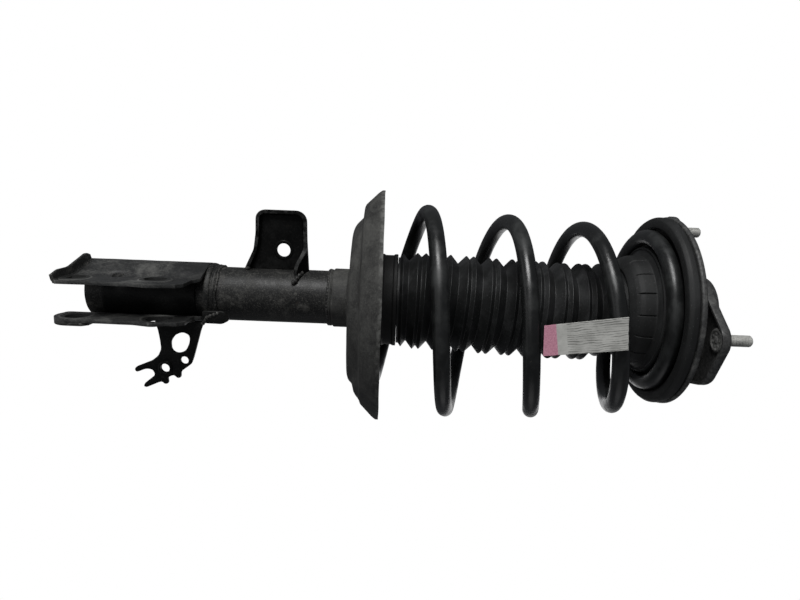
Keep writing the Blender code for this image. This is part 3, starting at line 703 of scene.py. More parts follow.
def well_tilt(spot):
    from_axis = hypot(spot.x, spot.y)
    fade = 1 - smoothstep(WELL_R - 1.0 * MM, WELL_R + 4.0 * MM, from_axis)
    dent = 0.4 * MM * rough((spot.x, spot.y, 0.0), 34.0, 3.0) * smoothstep(0.03, 0.07, from_axis)
    side = smoothstep(0.55, 0.8, spot.x / max(from_axis, 1e-6))
    pocket = 4.6 * MM * side * bump_at(WELL_R + 10.0 * MM, 9.0 * MM, from_axis)
    sink = WELL_TILT * fade * spot.x / WELL_R + PAN_LEAN * spot.y
    return spot + Vector((0.0, 0.0, dent - pocket - sink))


pan_line = [
    (26.5 * MM, FLOOR_Z),
    (WELL_R - 26.0 * MM, FLOOR_Z),
    (WELL_R - 19.0 * MM, FLOOR_Z + 0.8 * MM),
    (WELL_R - 4.0 * MM, FLOOR_Z),
    (WELL_R, FLOOR_Z + 1.3 * MM),
    (WELL_R + 9.0 * MM, -304.8 * MM),
    (RIM_R - 13.5 * MM, -303.6 * MM),
    (RIM_R - 2.0 * MM, -292.0 * MM),
    (RIM_R, RIM_Z),
]
pan_line = spaced(rounded(pan_line, 1.8 * MM, 4, closed=False), 3.0 * MM)
pan_over = [(r, z + PAN_T / 2) for r, z in pan_line]
pan_under = [(r, z - PAN_T / 2) for r, z in reversed(pan_line)]


def off_the_tube(spot):
    """The pan's hole is round the tube, which does not stand at the pan's centre."""
    tilted = well_tilt(spot)
    x, y = tilted.x + SPRING_X, tilted.y + SPRING_Y
    away = hypot(x, y)
    inner = smoothstep(60.0 * MM, 26.5 * MM, hypot(spot.x, spot.y))
    hole_r = TUBE_R + 0.3 * MM
    wanted = Vector((x, y, 0.0)) if away > 1e-6 else Vector((1.0, 0.0, 0.0))
    on_hole = Vector(hole_point(spot, hole_r))
    x = x * (1 - inner) + on_hole.x * inner
    y = y * (1 - inner) + on_hole.y * inner
    return Vector((x, y, tilted.z))


def hole_point(spot, radius):
    angle = atan2(spot.y, spot.x)
    return (radius * cos(angle), radius * sin(angle), 0.0)


points, faces = lathe(pan_over + pan_under, steps=180, warp=off_the_tube)
piece(
    "spring_pan", points, faces, dusty_paint, "damper_body", ["lower_spring_seat"]
)

pad_low, pad_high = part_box("lower_insulator")
PAD_BOTTOM = FLOOR_Z + PAN_T / 2 + 0.3 * MM


def pad_tilt(spot):
    return spot - Vector((0.0, 0.0, WELL_TILT * spot.x / WELL_R + PAN_LEAN * spot.y))


turned(
    "spring_pad",
    [
        (66.5 * MM, PAD_BOTTOM + 0.9 * MM),
        (66.5 * MM, PAD_BOTTOM),
        (56.0 * MM, PAD_BOTTOM),
        (56.0 * MM, PAD_BOTTOM + 0.9 * MM),
    ],
    black_rubber, "damper_body", "rubber", ["lower_insulator"], soften=0.3 * MM,
    centre=(SPRING_X, SPRING_Y), warp=pad_tilt,
)

cup_low, cup_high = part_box("boot_retainer")
CUP_R = cup_high.x


def cup_waves(spot):
    """Shallow moulded flats and clip marks round the boot's lower cup."""
    angle = atan2(spot.y, spot.x)
    push = 0.5 * MM * max(0.0, sin(9 * angle)) * bump_at(cup_high.z - 8 * MM, 5 * MM, spot.z)
    return spot - Vector((spot.x, spot.y, 0.0)).normalized() * push


turned(
    "boot_cup",
    [
        (CUP_R, cup_high.z),
        (CUP_R, cup_high.z - 3.0 * MM),
        (CUP_R - 0.9 * MM, cup_high.z - 4.0 * MM),
        (CUP_R - 0.9 * MM, cup_high.z - 12.0 * MM),
        (CUP_R, cup_high.z - 13.0 * MM),
        (CUP_R, cup_low.z + 10.0 * MM),
        (34.0 * MM, cup_low.z),
        (TUBE_R + 0.3 * MM, cup_low.z),
        (TUBE_R + 0.3 * MM, cup_low.z + 4.0 * MM),
        (33.0 * MM, cup_low.z + 4.0 * MM),
        (CUP_R - 2.6 * MM, cup_low.z + 12.0 * MM),
        (CUP_R - 2.6 * MM, cup_high.z),
    ],
    black_rubber, "damper_body", "rubber", ["boot_retainer"], warp=cup_waves,
)


# ---------------------------------------------------------------- coil spring

WIRE_R = 7.1 * MM
PITCH = 74.0 * MM
FIRST_TURN = -1.45
LAST_TURN = 3.58
FIRST_COIL_Z = -253.5 * MM


def spring_point(turn):
    """The wire's centre line: a barrel-shaped coil whose two end coils lie nearly flat."""
    tilt = 5.3 * MM * (1 - smoothstep(1.0, 1.5, turn))
    lean = -(2.5 + 4.0 * smoothstep(0.8, 1.7, turn)) * MM * (1 - smoothstep(2.6, 3.0, turn))
    angle = tau * turn
    open_z = FIRST_COIL_Z + PITCH * turn + tilt * cos(angle) + lean * sin(angle)
    seated_z = -293.5 * MM + 13.6 * MM * (turn + 0.5)
    upper_z = -38.7 * MM + 6.5 * MM * (turn - 3.0)
    z = seated_z + (open_z - seated_z) * smoothstep(-0.7, -0.05, turn)
    z = z + (upper_z - z) * smoothstep(2.55, 3.05, turn)
    radius = 65.5 + 23.0 * smoothstep(-0.75, 0.1, turn) - 6.0 * smoothstep(0.3, 2.3, turn)
    radius = (radius - 13.5 * smoothstep(2.3, 3.02, turn)) * MM
    offset = 1 - smoothstep(2.2, 3.0, turn)
    swell = 6.2 * MM * smoothstep(-0.3, 0.8, turn)
    x = (SPRING_X + swell) * offset - radius * cos(angle)
    y = SPRING_Y * offset - radius * sin(angle)
    return x, y, z


WIRE_PIECES = 460
wire_line = [
    spring_point(FIRST_TURN + (LAST_TURN - FIRST_TURN) * i / WIRE_PIECES)
    for i in range(WIRE_PIECES + 1)
]
wire_length = sum((Vector(b) - Vector(a)).length for a, b in zip(wire_line, wire_line[1:]))


def wire_radius(share):
    """Full size along the wire, with a small chamfer at each cut end."""
    from_end = min(share, 1 - share) * wire_length
    return WIRE_R - 1.2 * MM * (1 - smoothstep(0.0, 2.5 * MM, from_end))


points, faces = tube_along(wire_line, wire_radius, 32)
coil = piece(
    "coil_wire", points, faces, spring_paint, "upper_seat_body", ["coil_spring"]
)
keep_rest_place(coil)
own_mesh(coil)


# ---------------------------------------------------------------- label on the third coil

label_low, label_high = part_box("spring_label")
LABEL_AHEAD = 108.5 * MM
LABEL_VIEW = radians(11.0)
label_corners = in_mm([(15.6, -157.4), (39.6, -157.4), (6.3, -91.6), (32.4, -91.1)])
label_rows = []
for i in range(49):
    along = i / 48
    row = []
    for j in range(25):
        across = j / 24
        left = Vector(label_corners[0]).lerp(Vector(label_corners[2]), along)
        right = Vector(label_corners[1]).lerp(Vector(label_corners[3]), along)
        u, v = left.lerp(right, across)
        if i == 48:
            v += 0.5 * MM * rough((across * 9, 0.0, 0.0), 1.0, 7.0)
        if j in (0, 24):
            u += 0.25 * MM * rough((along * 14, j, 0.0), 1.0, 5.0)
        curl = 0.9 * MM * sin(pi * along) + 1.0 * MM * (across - 0.5) ** 2 * 4 * along
        curl += 0.35 * MM * rough((along * 3, across * 2, 0.0), 1.0, 2.0)
        row.append(Vector((u, -LABEL_AHEAD - 0.6 * curl, v)))
    label_rows.append(row)
label_mesh = sheet_mesh(label_rows, 0.25 * MM, 0.05 * MM)
label_mesh.transform(Matrix.Rotation(-LABEL_VIEW, 4, "Z"))
label = dress(
    bpy.data.objects.new("paper_flag", label_mesh), paper, "upper_seat_body",
    ["spring_label"],
)
keep_rest_place(label)
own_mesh(label)


# ---------------------------------------------------------------- dust boot

boot_low, boot_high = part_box("dust_boot")
BOOT_VALLEY = -264.1 * MM
BOOT_PITCH = 22.0 * MM
BOOT_FOLDS = 8
CREST_R = 46.3 * MM
DIP_R = 42.5 * MM
VALLEY_R = 38.2 * MM
BOOT_T = 1.6 * MM

boot_outer = [(41.0 * MM, boot_low.z), (41.0 * MM, boot_low.z + 2.0 * MM)]
boot_outer.append((44.6 * MM, boot_low.z + 4.6 * MM))
for fold in range(BOOT_FOLDS):
    low = BOOT_VALLEY + fold * BOOT_PITCH
    boot_outer.append((VALLEY_R, low))
    boot_outer.append((CREST_R, low + 0.33 * BOOT_PITCH))
    boot_outer.append((DIP_R, low + 0.49 * BOOT_PITCH))
    boot_outer.append((CREST_R, low + 0.65 * BOOT_PITCH))
last_valley = BOOT_VALLEY + BOOT_FOLDS * BOOT_PITCH
boot_outer.append((VALLEY_R, last_valley))
boot_outer.append((44.6 * MM, last_valley + 5.6 * MM))
boot_outer.append((38.0 * MM, last_valley + 11.5 * MM))
boot_outer.append((38.0 * MM, boot_high.z))
boot_outer = rounded(boot_outer, 0.7 * MM, 4, closed=False)
boot_inner = [(r - BOOT_T, z) for r, z in boot_outer]


def boot_sag(spot):
    """The bellows hangs to one side between its ends, and its folds lean and ripple."""
    share = (spot.z - boot_low.z) / (boot_high.z - boot_low.z)
    sag = 4.6 * MM * smoothstep(0.0, 0.8, share) * (1 - 0.95 * smoothstep(0.83, 0.95, share))
    lean = tan(radians(4.8)) * smoothstep(0.0, 0.2, share) * (1 - smoothstep(0.62, 0.97, share))
    angle = atan2(spot.y, spot.x)
    ripple = 0.35 * MM * rough((cos(angle) * 1.4, sin(angle) * 1.4, share * 16), 1.0, 4.0)
    pinch = 1 + 0.012 * rough((cos(angle), sin(angle), share * 9), 1.0, 8.0)
    z = spot.z - lean * spot.x + ripple * sin(pi * min(1.0, share * 1.08))
    return Vector((spot.x * pinch + sag, spot.y * pinch, z))


points, faces = lathe(list(reversed(boot_outer)) + boot_inner, steps=120, warp=boot_sag)
boot = piece(
    "bellows", points, faces, boot_rubber, "upper_seat_body", ["dust_boot"],
    sharp=75,
)
keep_rest_place(boot)
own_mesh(boot)


# ---------------------------------------------------------------- upper seat and insulator

ins_low, ins_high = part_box("upper_insulator")
INS_R = ins_high.x
SLITS = 16


def petal_slits(spot):
    """Narrow slits part the boss's side into petals; they stop before its domed end."""
    from_axis = hypot(spot.x, spot.y)
    on_side = smoothstep(47.0 * MM, 50.0 * MM, from_axis) * (spot.z < -45.0 * MM)
    angle = atan2(spot.y, spot.x) / tau * SLITS + 0.2
    near = abs(angle - round(angle)) * tau * from_axis / SLITS
    fade = smoothstep(-62.5 * MM, -58.0 * MM, spot.z) * on_side * (from_axis < 52.0 * MM)
    depth = 1.5 * MM * (1 - smoothstep(0.0, 0.75 * MM, near)) * fade
    fullness = 0.3 * MM * rough((spot.x, spot.y, spot.z), 60.0, 1.0) * fade
    outward = Vector((spot.x, spot.y, 0.0)).normalized()
    return spot + outward * (fullness - depth)


insulator_line = in_mm(
    [
        (46.8, -24.0),
        (86.0, -24.0),
        (88.0, -25.6),
        (88.0, -30.5),
        (86.0, -33.6),
        (82.5, -34.0),
        (78.6, -33.8),
        (77.0, -32.4),
        (76.8, -27.6),
        (59.8, -27.6),
        (59.8, -41.0),
        (58.6, -43.0),
        (56.6, -41.6),
        (54.4, -43.2),
        (51.3, -44.6),
        (51.3, -48.0),
        (51.2, -52.0),
        (51.0, -55.0),
        (49.8, -58.5),
        (47.2, -61.3),
        (43.0, -64.0),
        (40.6, -65.3),
        (39.2, -65.1),
        (39.2, -62.0),
        (46.8, -54.0),
    ]
)
insulator_fine = spaced(rounded(insulator_line, 0.9 * MM, 3) + [insulator_line[0]], 2.5 * MM)[:-1]
points, faces = lathe(insulator_fine, steps=SLITS * 44, warp=petal_slits)
piece(
    "rubber_seat", points, faces, grey_rubber, "upper_seat_body", ["upper_insulator"]
)

seat_low, seat_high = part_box("upper_spring_seat")
SEAT_R = seat_high.x
seat_line = [
    (SEAT_R - 2.2 * MM, seat_high.z),
    (SEAT_R - 1.1 * MM, seat_high.z + 0.0 * MM),
    (SEAT_R, seat_high.z - 1.1 * MM),
    (SEAT_R, -22.4 * MM),
    (SEAT_R - 0.9 * MM, -23.7 * MM),
    (46.4 * MM, -23.7 * MM),
    (46.4 * MM, -40.0 * MM),
    (44.2 * MM, -40.0 * MM),
    (44.2 * MM, -21.4 * MM),
    (66.0 * MM, -21.4 * MM),
    (70.0 * MM, -20.2 * MM),
    (76.0 * MM, -20.2 * MM),
    (80.0 * MM, -21.4 * MM),
    (SEAT_R - 2.2 * MM, -21.4 * MM),
]
turned(
    "steel_seat", seat_line, dark_zinc, "upper_seat_body", "black_paint", ["upper_spring_seat"]
)

for race, body in (("upper", "mount_body"), ("lower", "upper_seat_body")):
    low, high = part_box(f"bearing_{race}_race")
    inner = 44.5 * MM
    lip = 1.3 * MM
    profile = [
        (inner, high.z),
        (high.x - lip, high.z),
        (high.x, high.z - lip),
        (high.x, low.z + 0.4 * MM),
        (high.x - 0.4 * MM, low.z),
        (inner, low.z),
    ]
    turned(
        f"race_{race}", profile, black_rubber, body, "race_plastic", [f"bearing_{race}_race"]
    )

carrier_low, carrier_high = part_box("bearing_carrier")
turned(
    "bearing_plate",
    [
        (20.0 * MM, carrier_high.z),
        (carrier_high.x, carrier_high.z),
        (carrier_high.x, carrier_low.z),
        (20.0 * MM, carrier_low.z),
    ],
    dark_zinc, "mount_body", "zinc_black", ["bearing_carrier"],
)


# ---------------------------------------------------------------- top mount

STUD_CIRCLE_R = 80.0 * MM
EAR_R = 15.0 * MM
STUD_ANGLES = (-6.0, 114.0, 234.0)
PLATE_T = 4.0 * MM
RIM_DEPTH = 8.0 * MM
DOME_R = 34.0 * MM
BROAD_X = 30.0 * MM
BROAD_Y = -57.0 * MM
mount_low, mount_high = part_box("mount_plate")
stud_low, stud_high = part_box("mount_stud_1")
DOME_TOP = mount_high.z
STUD_R = 4.95 * MM


def mount_outline(ear_r, pieces=24):
    """An arc round each stud, and a wider one at the plate's broad side."""
    outline = []
    for turn, before, after in zip(STUD_ANGLES, (24, 60, 60), (60, 60, 50)):
        x, y = out_from_axis(turn, STUD_CIRCLE_R)
        outward = degrees(atan2(y, x))
        outline.extend(arc(x, y, ear_r, outward + before, outward - after, pieces))
    outline.extend(arc(BROAD_X, BROAD_Y, ear_r + 9.0 * MM, -14, -60, pieces))
    return outline


def turned_down_rim():
    """The pressing's edge: it rolls over from the plate's top and ends in a plain lip."""
    section = in_mm([(4.5, -0.2), (2.2, -0.05), (0.9, -0.7), (0.25, -1.9), (0.0, -3.4)])
    section += in_mm([(0.0, -7.5), (0.3, -8.0), (2.2, -8.0), (2.6, -7.6), (2.7, -4.0), (4.5, -3.9)])
    rows = []
    for inset, z in section:
        flat = mount_outline(EAR_R - inset, 24)
        rows.append([(x, y, z) for x, y in flat])
    points = [p for row in rows for p in row]
    width = len(rows[0])
    faces = []
    for i in range(len(rows)):
        k = (i + 1) % len(rows)
        for j in range(width):
            n = (j + 1) % width
            faces.append((i * width + j, i * width + n, k * width + n, k * width + j))
    return points, faces


stud_holes = [circle(*out_from_axis(d, STUD_CIRCLE_R), STUD_R + 0.3 * MM) for d in STUD_ANGLES]
flat = plate_mesh(
    "mount_flat", [mount_outline(EAR_R - 2.3 * MM), *stud_holes, circle(0, 0, DOME_R - 2 * MM)],
    PLATE_T, 0.4 * MM,
)
flat.transform(Matrix.Translation((0.0, 0.0, -PLATE_T / 2)))
dome_line = [
    (20.0 * MM, DOME_TOP),
    (DOME_R - 6.0 * MM, DOME_TOP),
    (DOME_R - 1.5 * MM, DOME_TOP - 2.0 * MM),
    (DOME_R, DOME_TOP - 6.0 * MM),
    (DOME_R, 3.0 * MM),
    (DOME_R + 3.2 * MM, 0.03 * MM),
    (DOME_R + 3.2 * MM, -3.0 * MM),
    (DOME_R - 3.0 * MM, -3.0 * MM),
    (DOME_R - 3.0 * MM, DOME_TOP - 6.0 * MM),
    (DOME_R - 6.0 * MM, DOME_TOP - 3.0 * MM),
    (20.0 * MM, DOME_TOP - 3.0 * MM),
]
dome = lathe(rounded(dome_line, 2.2 * MM, 5), steps=120)
points, faces = joined("mount", parts_of(flat), turned_down_rim(), dome)
piece("mount_pressing", points, faces, dark_zinc, "mount_body", ["mount_plate"], 35)


def thread(radius, bottom, top, pitch, centre, chamfer, start_deg=0):
    """A screw thread with a chamfered end: the skin of a bar whose radius follows the helix."""
    around = 40
    rows = max(8, round((top - bottom) / pitch * 7))
    depth = 0.55 * pitch
    points = [(centre[0], centre[1], bottom)]
    for i in range(rows + 1):
        z = bottom + (top - bottom) * i / rows
        for j in range(around):
            turn = j / around
            phase = ((z - bottom) / pitch - turn) % 1.0
            cut = depth * (1 - abs(2 * phase - 1) ** 0.8)
            fade = smoothstep(bottom, bottom + pitch, z)
            end = max(0.0, z - (top - chamfer))
            r = min(radius - cut * fade, radius - end)
            angle = tau * turn
            points.append((centre[0] + r * cos(angle), centre[1] + r * sin(angle), z))
    points.append((centre[0], centre[1], top))
    faces = []
    for i in range(rows):
        for j in range(around):
            k = (j + 1) % around
            a = 1 + i * around
            b = a + around
            faces.append((a + j, a + k, b + k, b + j))
    for j in range(around):
        k = (j + 1) % around
        faces.append((0, 1 + k, 1 + j))
        faces.append((len(points) - 1, 1 + rows * around + j, 1 + rows * around + k))
    return points, faces


def stud_head(centre, low, high):
    """A press-in head with a raised rim, a pip and a ring of coined dimples."""
    r = 10.0 * MM
    profile = [
        (0.0, high),
        (r, high),
        (r, low + 0.9 * MM),
        (r - 0.8 * MM, low),
        (r - 2.2 * MM, low),
        (r - 3.2 * MM, low + 0.9 * MM),
        (3.6 * MM, low + 0.9 * MM),
        (2.4 * MM, low + 0.2 * MM),
        (0.0, low + 0.1 * MM),
    ]

    def coined(spot):
        from_axis = hypot(spot.x, spot.y)
        angle = atan2(spot.y, spot.x)
        ring = bump_at(5.6 * MM, 2.2 * MM, from_axis) * (spot.z < high - 0.6 * MM)
        dimple = 0.7 * MM * ring * max(0.0, sin(7 * angle))
        return spot + Vector((0.0, 0.0, -dimple))

    line = spaced(rounded(profile, 0.4 * MM, 3, closed=False), 0.8 * MM)
    return lathe(line, steps=72, closed=False, centre=centre, warp=coined)


for number, turn in enumerate(STUD_ANGLES, 1):
    centre = out_from_axis(turn, STUD_CIRCLE_R)
    low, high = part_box(f"mount_stud_{number}")
    shank = [(0.0, 1.6 * MM), (STUD_R, 1.6 * MM), (STUD_R, -4.0 * MM), (0.0, -4.0 * MM)]
    shank = lathe(shank, steps=40, closed=False, centre=centre)
    screw = thread(STUD_R, 1.2 * MM, high.z, 1.25 * MM, centre, 1.3 * MM)
    points, faces = joined("stud", screw, shank)
    piece(
        f"stud_{number}", points, faces, bright_zinc, "mount_body",
        [f"mount_stud_{number}"],
    )
    points, faces = stud_head(centre, low.z, -4.1 * MM)
    piece(f"stud_head_{number}", points, faces, stud_head_zinc, "mount_body", sharp=50)

rubber_low, rubber_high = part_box("mount_rubber")
turned(
    "mount_bush",
    [
        (12.3 * MM, rubber_high.z - 1.0 * MM),
        (17.0 * MM, rubber_high.z - 2.4 * MM),
        (24.0 * MM, rubber_high.z - 2.4 * MM),
        (rubber_high.x - 2.0 * MM, rubber_high.z),
        (rubber_high.x, rubber_high.z - 2.0 * MM),
        (rubber_high.x, rubber_low.z),
        (12.3 * MM, rubber_low.z),
    ],
    black_rubber, "mount_body", "rubber", ["mount_rubber"], soften=1.2 * MM,
)

washer_low, washer_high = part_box("rod_washer")
ROD_THREAD_R = 7.0 * MM
turned(
    "mount_washer",
    [
        (ROD_THREAD_R + 0.3 * MM, washer_high.z),
        (washer_high.x, washer_high.z),
        (washer_high.x, washer_low.z),
        (ROD_THREAD_R + 0.3 * MM, washer_low.z),
    ],
    bright_zinc, "mount_body", "zinc", ["rod_washer"],
)

nut_low, nut_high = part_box("rod_nut")
hexagon = rounded(circle(0, 0, 12.7 * MM, 6), 1.0 * MM, 3)
plate(
    "mount_nut", [hexagon, circle(0, 0, ROD_THREAD_R + 0.2 * MM, 40)], nut_high.z - nut_low.z,
    Matrix.Translation((0.0, 0.0, (nut_low.z + nut_high.z) / 2)), bright_zinc, "mount_body",
    ["rod_nut"], 0.9 * MM,
)

rod_low, rod_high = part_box("piston_rod")
ROD_SHOULDER = -14.3 * MM
rod_line = [
    (0.0, 6.0 * MM),
    (ROD_THREAD_R, 6.0 * MM),
    (ROD_THREAD_R, ROD_SHOULDER),
    (11.0 * MM, ROD_SHOULDER),
    (11.0 * MM, -306.0 * MM),
    (6.0 * MM, -306.0 * MM),
    (6.0 * MM, rod_low.z),
    (0.0, rod_low.z),
]
rod = lathe(rounded(rod_line, 0.5 * MM, 2, closed=False), steps=64, closed=False)
rod_end = thread(ROD_THREAD_R, 5.0 * MM, rod_high.z, 1.5 * MM, (0.0, 0.0), 1.3 * MM)
points, faces = joined("rod", rod, rod_end)
piece("damper_rod", points, faces, chrome, "mount_body", ["piston_rod"])


# ---------------------------------------------------------------- knuckle bracket

SHEET_T = 3.2 * MM
CLEVIS_HALF = 15.2 * MM
FLANGE_FRONT = -65.0 * MM
FLANGE_END = -569.8 * MM
FLANGE_TOP = -458.5 * MM
WRAP_TOP = -451.9 * MM
BOLT_Y = -48.3 * MM
LOWER_BOLT_Z = -557.5 * MM
UPPER_BOLT_Z = -486.0 * MM
BOLT_HOLE_R = 8.3 * MM
SLOT_HALF = 1.5 * MM
DRAIN_Y = -30.0 * MM
DRAIN_Z = -527.5 * MM
EAR_CENTRE_Z = -558.7 * MM
EAR_ROUND_R = 16.7 * MM
knuckle_low, knuckle_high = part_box("knuckle_bracket")
WRAP_R = TUBE_R + 0.3 * MM + SHEET_T / 2
FLANGE_X = CLEVIS_HALF + SHEET_T / 2


def bracket_half():
    """Half of the bracket's section, from the flange's front edge to the back of the tube."""
    leave = radians(70)
    tangent_x = WRAP_R * sin(leave)
    tangent_y = -WRAP_R * cos(leave)
    bend_y = tangent_y - (tangent_x - FLANGE_X) / tan(radians(20))
    straight = [(FLANGE_X, FLANGE_FRONT), (FLANGE_X, bend_y), (tangent_x, tangent_y)]
    straight = rounded(straight, 5.0 * MM, 6, closed=False)
    back = [(WRAP_R * sin(radians(a)), -WRAP_R * cos(radians(a))) for a in range(72, 181, 3)]
    return spaced(straight + back, 1.1 * MM)


def low_edge(side, y):
    """The height of the bracket's lower edge: the +X flange ends in a round ear."""
    if side > 0:
        if y < -39.9 * MM:
            reach = EAR_ROUND_R**2 - (y - BOLT_Y) ** 2
            return EAR_CENTRE_Z - sqrt(max(reach, 0.0))
        return -573.2 * MM + (tube_low.z + 573.2 * MM) * smoothstep(-39.9 * MM, -18.0 * MM, y)
    front = 4.0 * MM * (1 - smoothstep(FLANGE_FRONT, FLANGE_FRONT + 4.0 * MM, y))
    return FLANGE_END + front + (tube_low.z - FLANGE_END) * smoothstep(0.0, 8.0 * MM, y)


def high_edge(y):
    front = 5.0 * MM * (1 - smoothstep(FLANGE_FRONT, FLANGE_FRONT + 6.0 * MM, y))
    step = smoothstep(-36.5 * MM, -31.0 * MM, y)
    return FLANGE_TOP + 1.0 * MM - front + (WRAP_TOP - FLANGE_TOP - 1.0 * MM) * step


def pressed(side, y, z):
    """How far the sheet stands out from its plain shape, at its bosses and pressed recess."""
    boss = hypot(y - BOLT_Y, z - UPPER_BOLT_Z)
    push = 1.4 * MM * (1 - smoothstep(12.6 * MM, 15.4 * MM, boss))
    lower_boss = hypot(y - BOLT_Y, z - LOWER_BOLT_Z)
    push += 0.8 * MM * (1 - smoothstep(11.6 * MM, 13.8 * MM, lower_boss))
    if side < 0:
        drain = hypot((y - DRAIN_Y) * 1.1, (z - DRAIN_Z) * 0.7)
        push -= 1.5 * MM * (1 - smoothstep(5.5 * MM, 9.5 * MM, drain))
        shoulder = hypot(y + 30.0 * MM, (z + 466.0 * MM) * 0.8)
        push -= 1.6 * MM * (1 - smoothstep(4.0 * MM, 12.0 * MM, shoulder))
    ridge = bump_at(-520.0 * MM, 26.0 * MM, z) * bump_at(BOLT_Y, 9.0 * MM, y)
    push += 1.2 * MM * ridge
    wave = 0.25 * MM * rough((side * 0.1, y, z), 42.0, 6.0)
    return push * (y < -8.0 * MM) + wave


half = bracket_half()
section = half + [(-x, y) for x, y in reversed(half[:-1])]
Z_ROWS = 84
bracket_rows = []
for i in range(Z_ROWS + 1):
    row = []
    for n, (x, y) in enumerate(section):
        side = 1 if x > 0 else -1
        low, high = low_edge(side, y), high_edge(y)
        z = low + (high - low) * i / Z_ROWS
        before = Vector(section[max(n - 1, 0)])
        after = Vector(section[min(n + 1, len(section) - 1)])
        along = (after - before).normalized()
        outward = Vector((along.y, -along.x))
        if outward.dot(Vector((x, y + 20.0 * MM))) < 0:
            outward = -outward
        out = pressed(side, y, z)
        front = 3.6 * MM * bump_at(UPPER_BOLT_Z, 17.0 * MM, z) * smoothstep(-52 * MM, FLANGE_FRONT, y)
        row.append((x + outward.x * out, y + outward.y * out - front, z))
    bracket_rows.append(row)


def bolt_slots():
    """One cutter with the two slotted bolt holes through both flanges, and the drain hole."""
    meshes = []
    for z in (LOWER_BOLT_Z, UPPER_BOLT_Z):
        slot = arc(BOLT_Y, z + SLOT_HALF, BOLT_HOLE_R, 0, 180, 20)
        slot += arc(BOLT_Y, z - SLOT_HALF, BOLT_HOLE_R, 180, 360, 20)
        mesh = plate_mesh("slot", [slot], 90.0 * MM, 0.01 * MM)
        mesh.transform(facing_x(0.0))
        meshes.append(parts_of(mesh))
    drain = arc(DRAIN_Y, DRAIN_Z + 0.8 * MM, 4.6 * MM, 0, 180, 16)
    drain += arc(DRAIN_Y, DRAIN_Z - 0.8 * MM, 4.6 * MM, 180, 360, 16)
    mesh = plate_mesh("drain", [drain], 40.0 * MM, 0.01 * MM)
    mesh.transform(facing_x(-32.0 * MM))
    meshes.append(parts_of(mesh))
    points, faces = joined("cutters", *meshes)
    cutter_mesh = bpy.data.meshes.new("bolt_slots")
    cutter_mesh.from_pydata([tuple(p) for p in points], [], faces)
    made = bpy.data.objects.new("bolt_slots", cutter_mesh)
    bpy.context.scene.collection.objects.link(made)
    return made


def cut_by(mesh, cutter):
    helper = bpy.data.objects.new("cut_helper", mesh)
    bpy.context.scene.collection.objects.link(helper)
    cut = helper.modifiers.new("Cut", "BOOLEAN")
    cut.operation = "DIFFERENCE"
    cut.object = cutter
    made = evaluated(helper)
    bpy.data.objects.remove(cutter, do_unlink=True)
    return made


bracket_mesh = cut_by(sheet_mesh(bracket_rows, SHEET_T), bolt_slots())
dress(
    bpy.data.objects.new("clevis_bracket", bracket_mesh), flange_paint, "damper_body",
    ["knuckle_bracket"], 34,
)

# A second plate doubles the +X flange at its lower ear.
DOUBLER_T = 3.0 * MM
doubler_edge = arc(BOLT_Y, EAR_CENTRE_Z, EAR_ROUND_R, 180, 360, 24)
doubler_edge += in_mm([(-32.0, -546.0), (-36.5, -540.5), (-60.5, -540.5), (-65.0, -545.0)])
doubler_hole = arc(BOLT_Y, LOWER_BOLT_Z + SLOT_HALF, BOLT_HOLE_R, 0, 180, 20)
doubler_hole += arc(BOLT_Y, LOWER_BOLT_Z - SLOT_HALF, BOLT_HOLE_R, 180, 360, 20)
plate(
    "ear_doubler", [doubler_edge, doubler_hole], DOUBLER_T,
    facing_x(FLANGE_X + SHEET_T / 2 + DOUBLER_T / 2), black_paint, "damper_body",
)

# The lip turned out along the lower end of the -X flange.
LIP_BEND = 3.4 * MM
LIP_WIDTH = 6.5 * MM
lip_line = [(-x, y) for x, y in half if -64.6 * MM < y < -2.0 * MM]
lip_rows = []
for n, (x, y) in enumerate(lip_line):
    before = Vector(lip_line[max(n - 1, 0)])
    after = Vector(lip_line[min(n + 1, len(lip_line) - 1)])
    along = (after - before).normalized()
    outward = Vector((along.y, -along.x))
    if outward.x > 0:
        outward = -outward
    rise = 2.5 * MM * smoothstep(-40.0 * MM, -2.0 * MM, y)
    row = [(0.0, LIP_BEND + 1.5 * MM)]
    for step in range(7):
        angle = radians(78) * step / 6
        row.append((LIP_BEND * (1 - cos(angle)), LIP_BEND * (1 - sin(angle))))
    reach = LIP_WIDTH * (0.55 + 0.45 * smoothstep(-66.0 * MM, -50.0 * MM, y))
    reach *= 1 - 0.5 * smoothstep(-8.0 * MM, -2.0 * MM, y)
    for step in range(1, 5):
        far = reach * step / 4
        row.append((row[7][0] + far * sin(radians(78)), row[7][1] - far * cos(radians(78))))
    lip_rows.append(
        [(x + outward.x * o, y + outward.y * o, FLANGE_END + 1.4 * MM + up + rise) for o, up in row]
    )
dress(
    bpy.data.objects.new("bracket_lip", sheet_mesh(lip_rows, SHEET_T)), black_paint,
    "damper_body",
)

# The plate inside the bracket, in front of the tube.
closure_low, closure_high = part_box("bracket_closure")
CLOSURE_R = TUBE_R + 1.6 * MM
closure_rows = []
for i in range(25):
    z = closure_low.z + (closure_high.z - closure_low.z) * i / 24
    row = []
    for step in range(-42, 43, 3):
        r = CLOSURE_R + 0.3 * MM * rough((step * 0.05, z * 40, 0.0), 1.0, 9.0)
        row.append((r * sin(radians(step)), -r * cos(radians(step)), z))
    closure_rows.append(row)
# Its darker paint is painted shade, for the dark space between the flanges.
dress(
    bpy.data.objects.new("bracket_inner", sheet_mesh(closure_rows, 2.6 * MM)), shaded_black_paint,
    "damper_body", ["bracket_closure"],
)

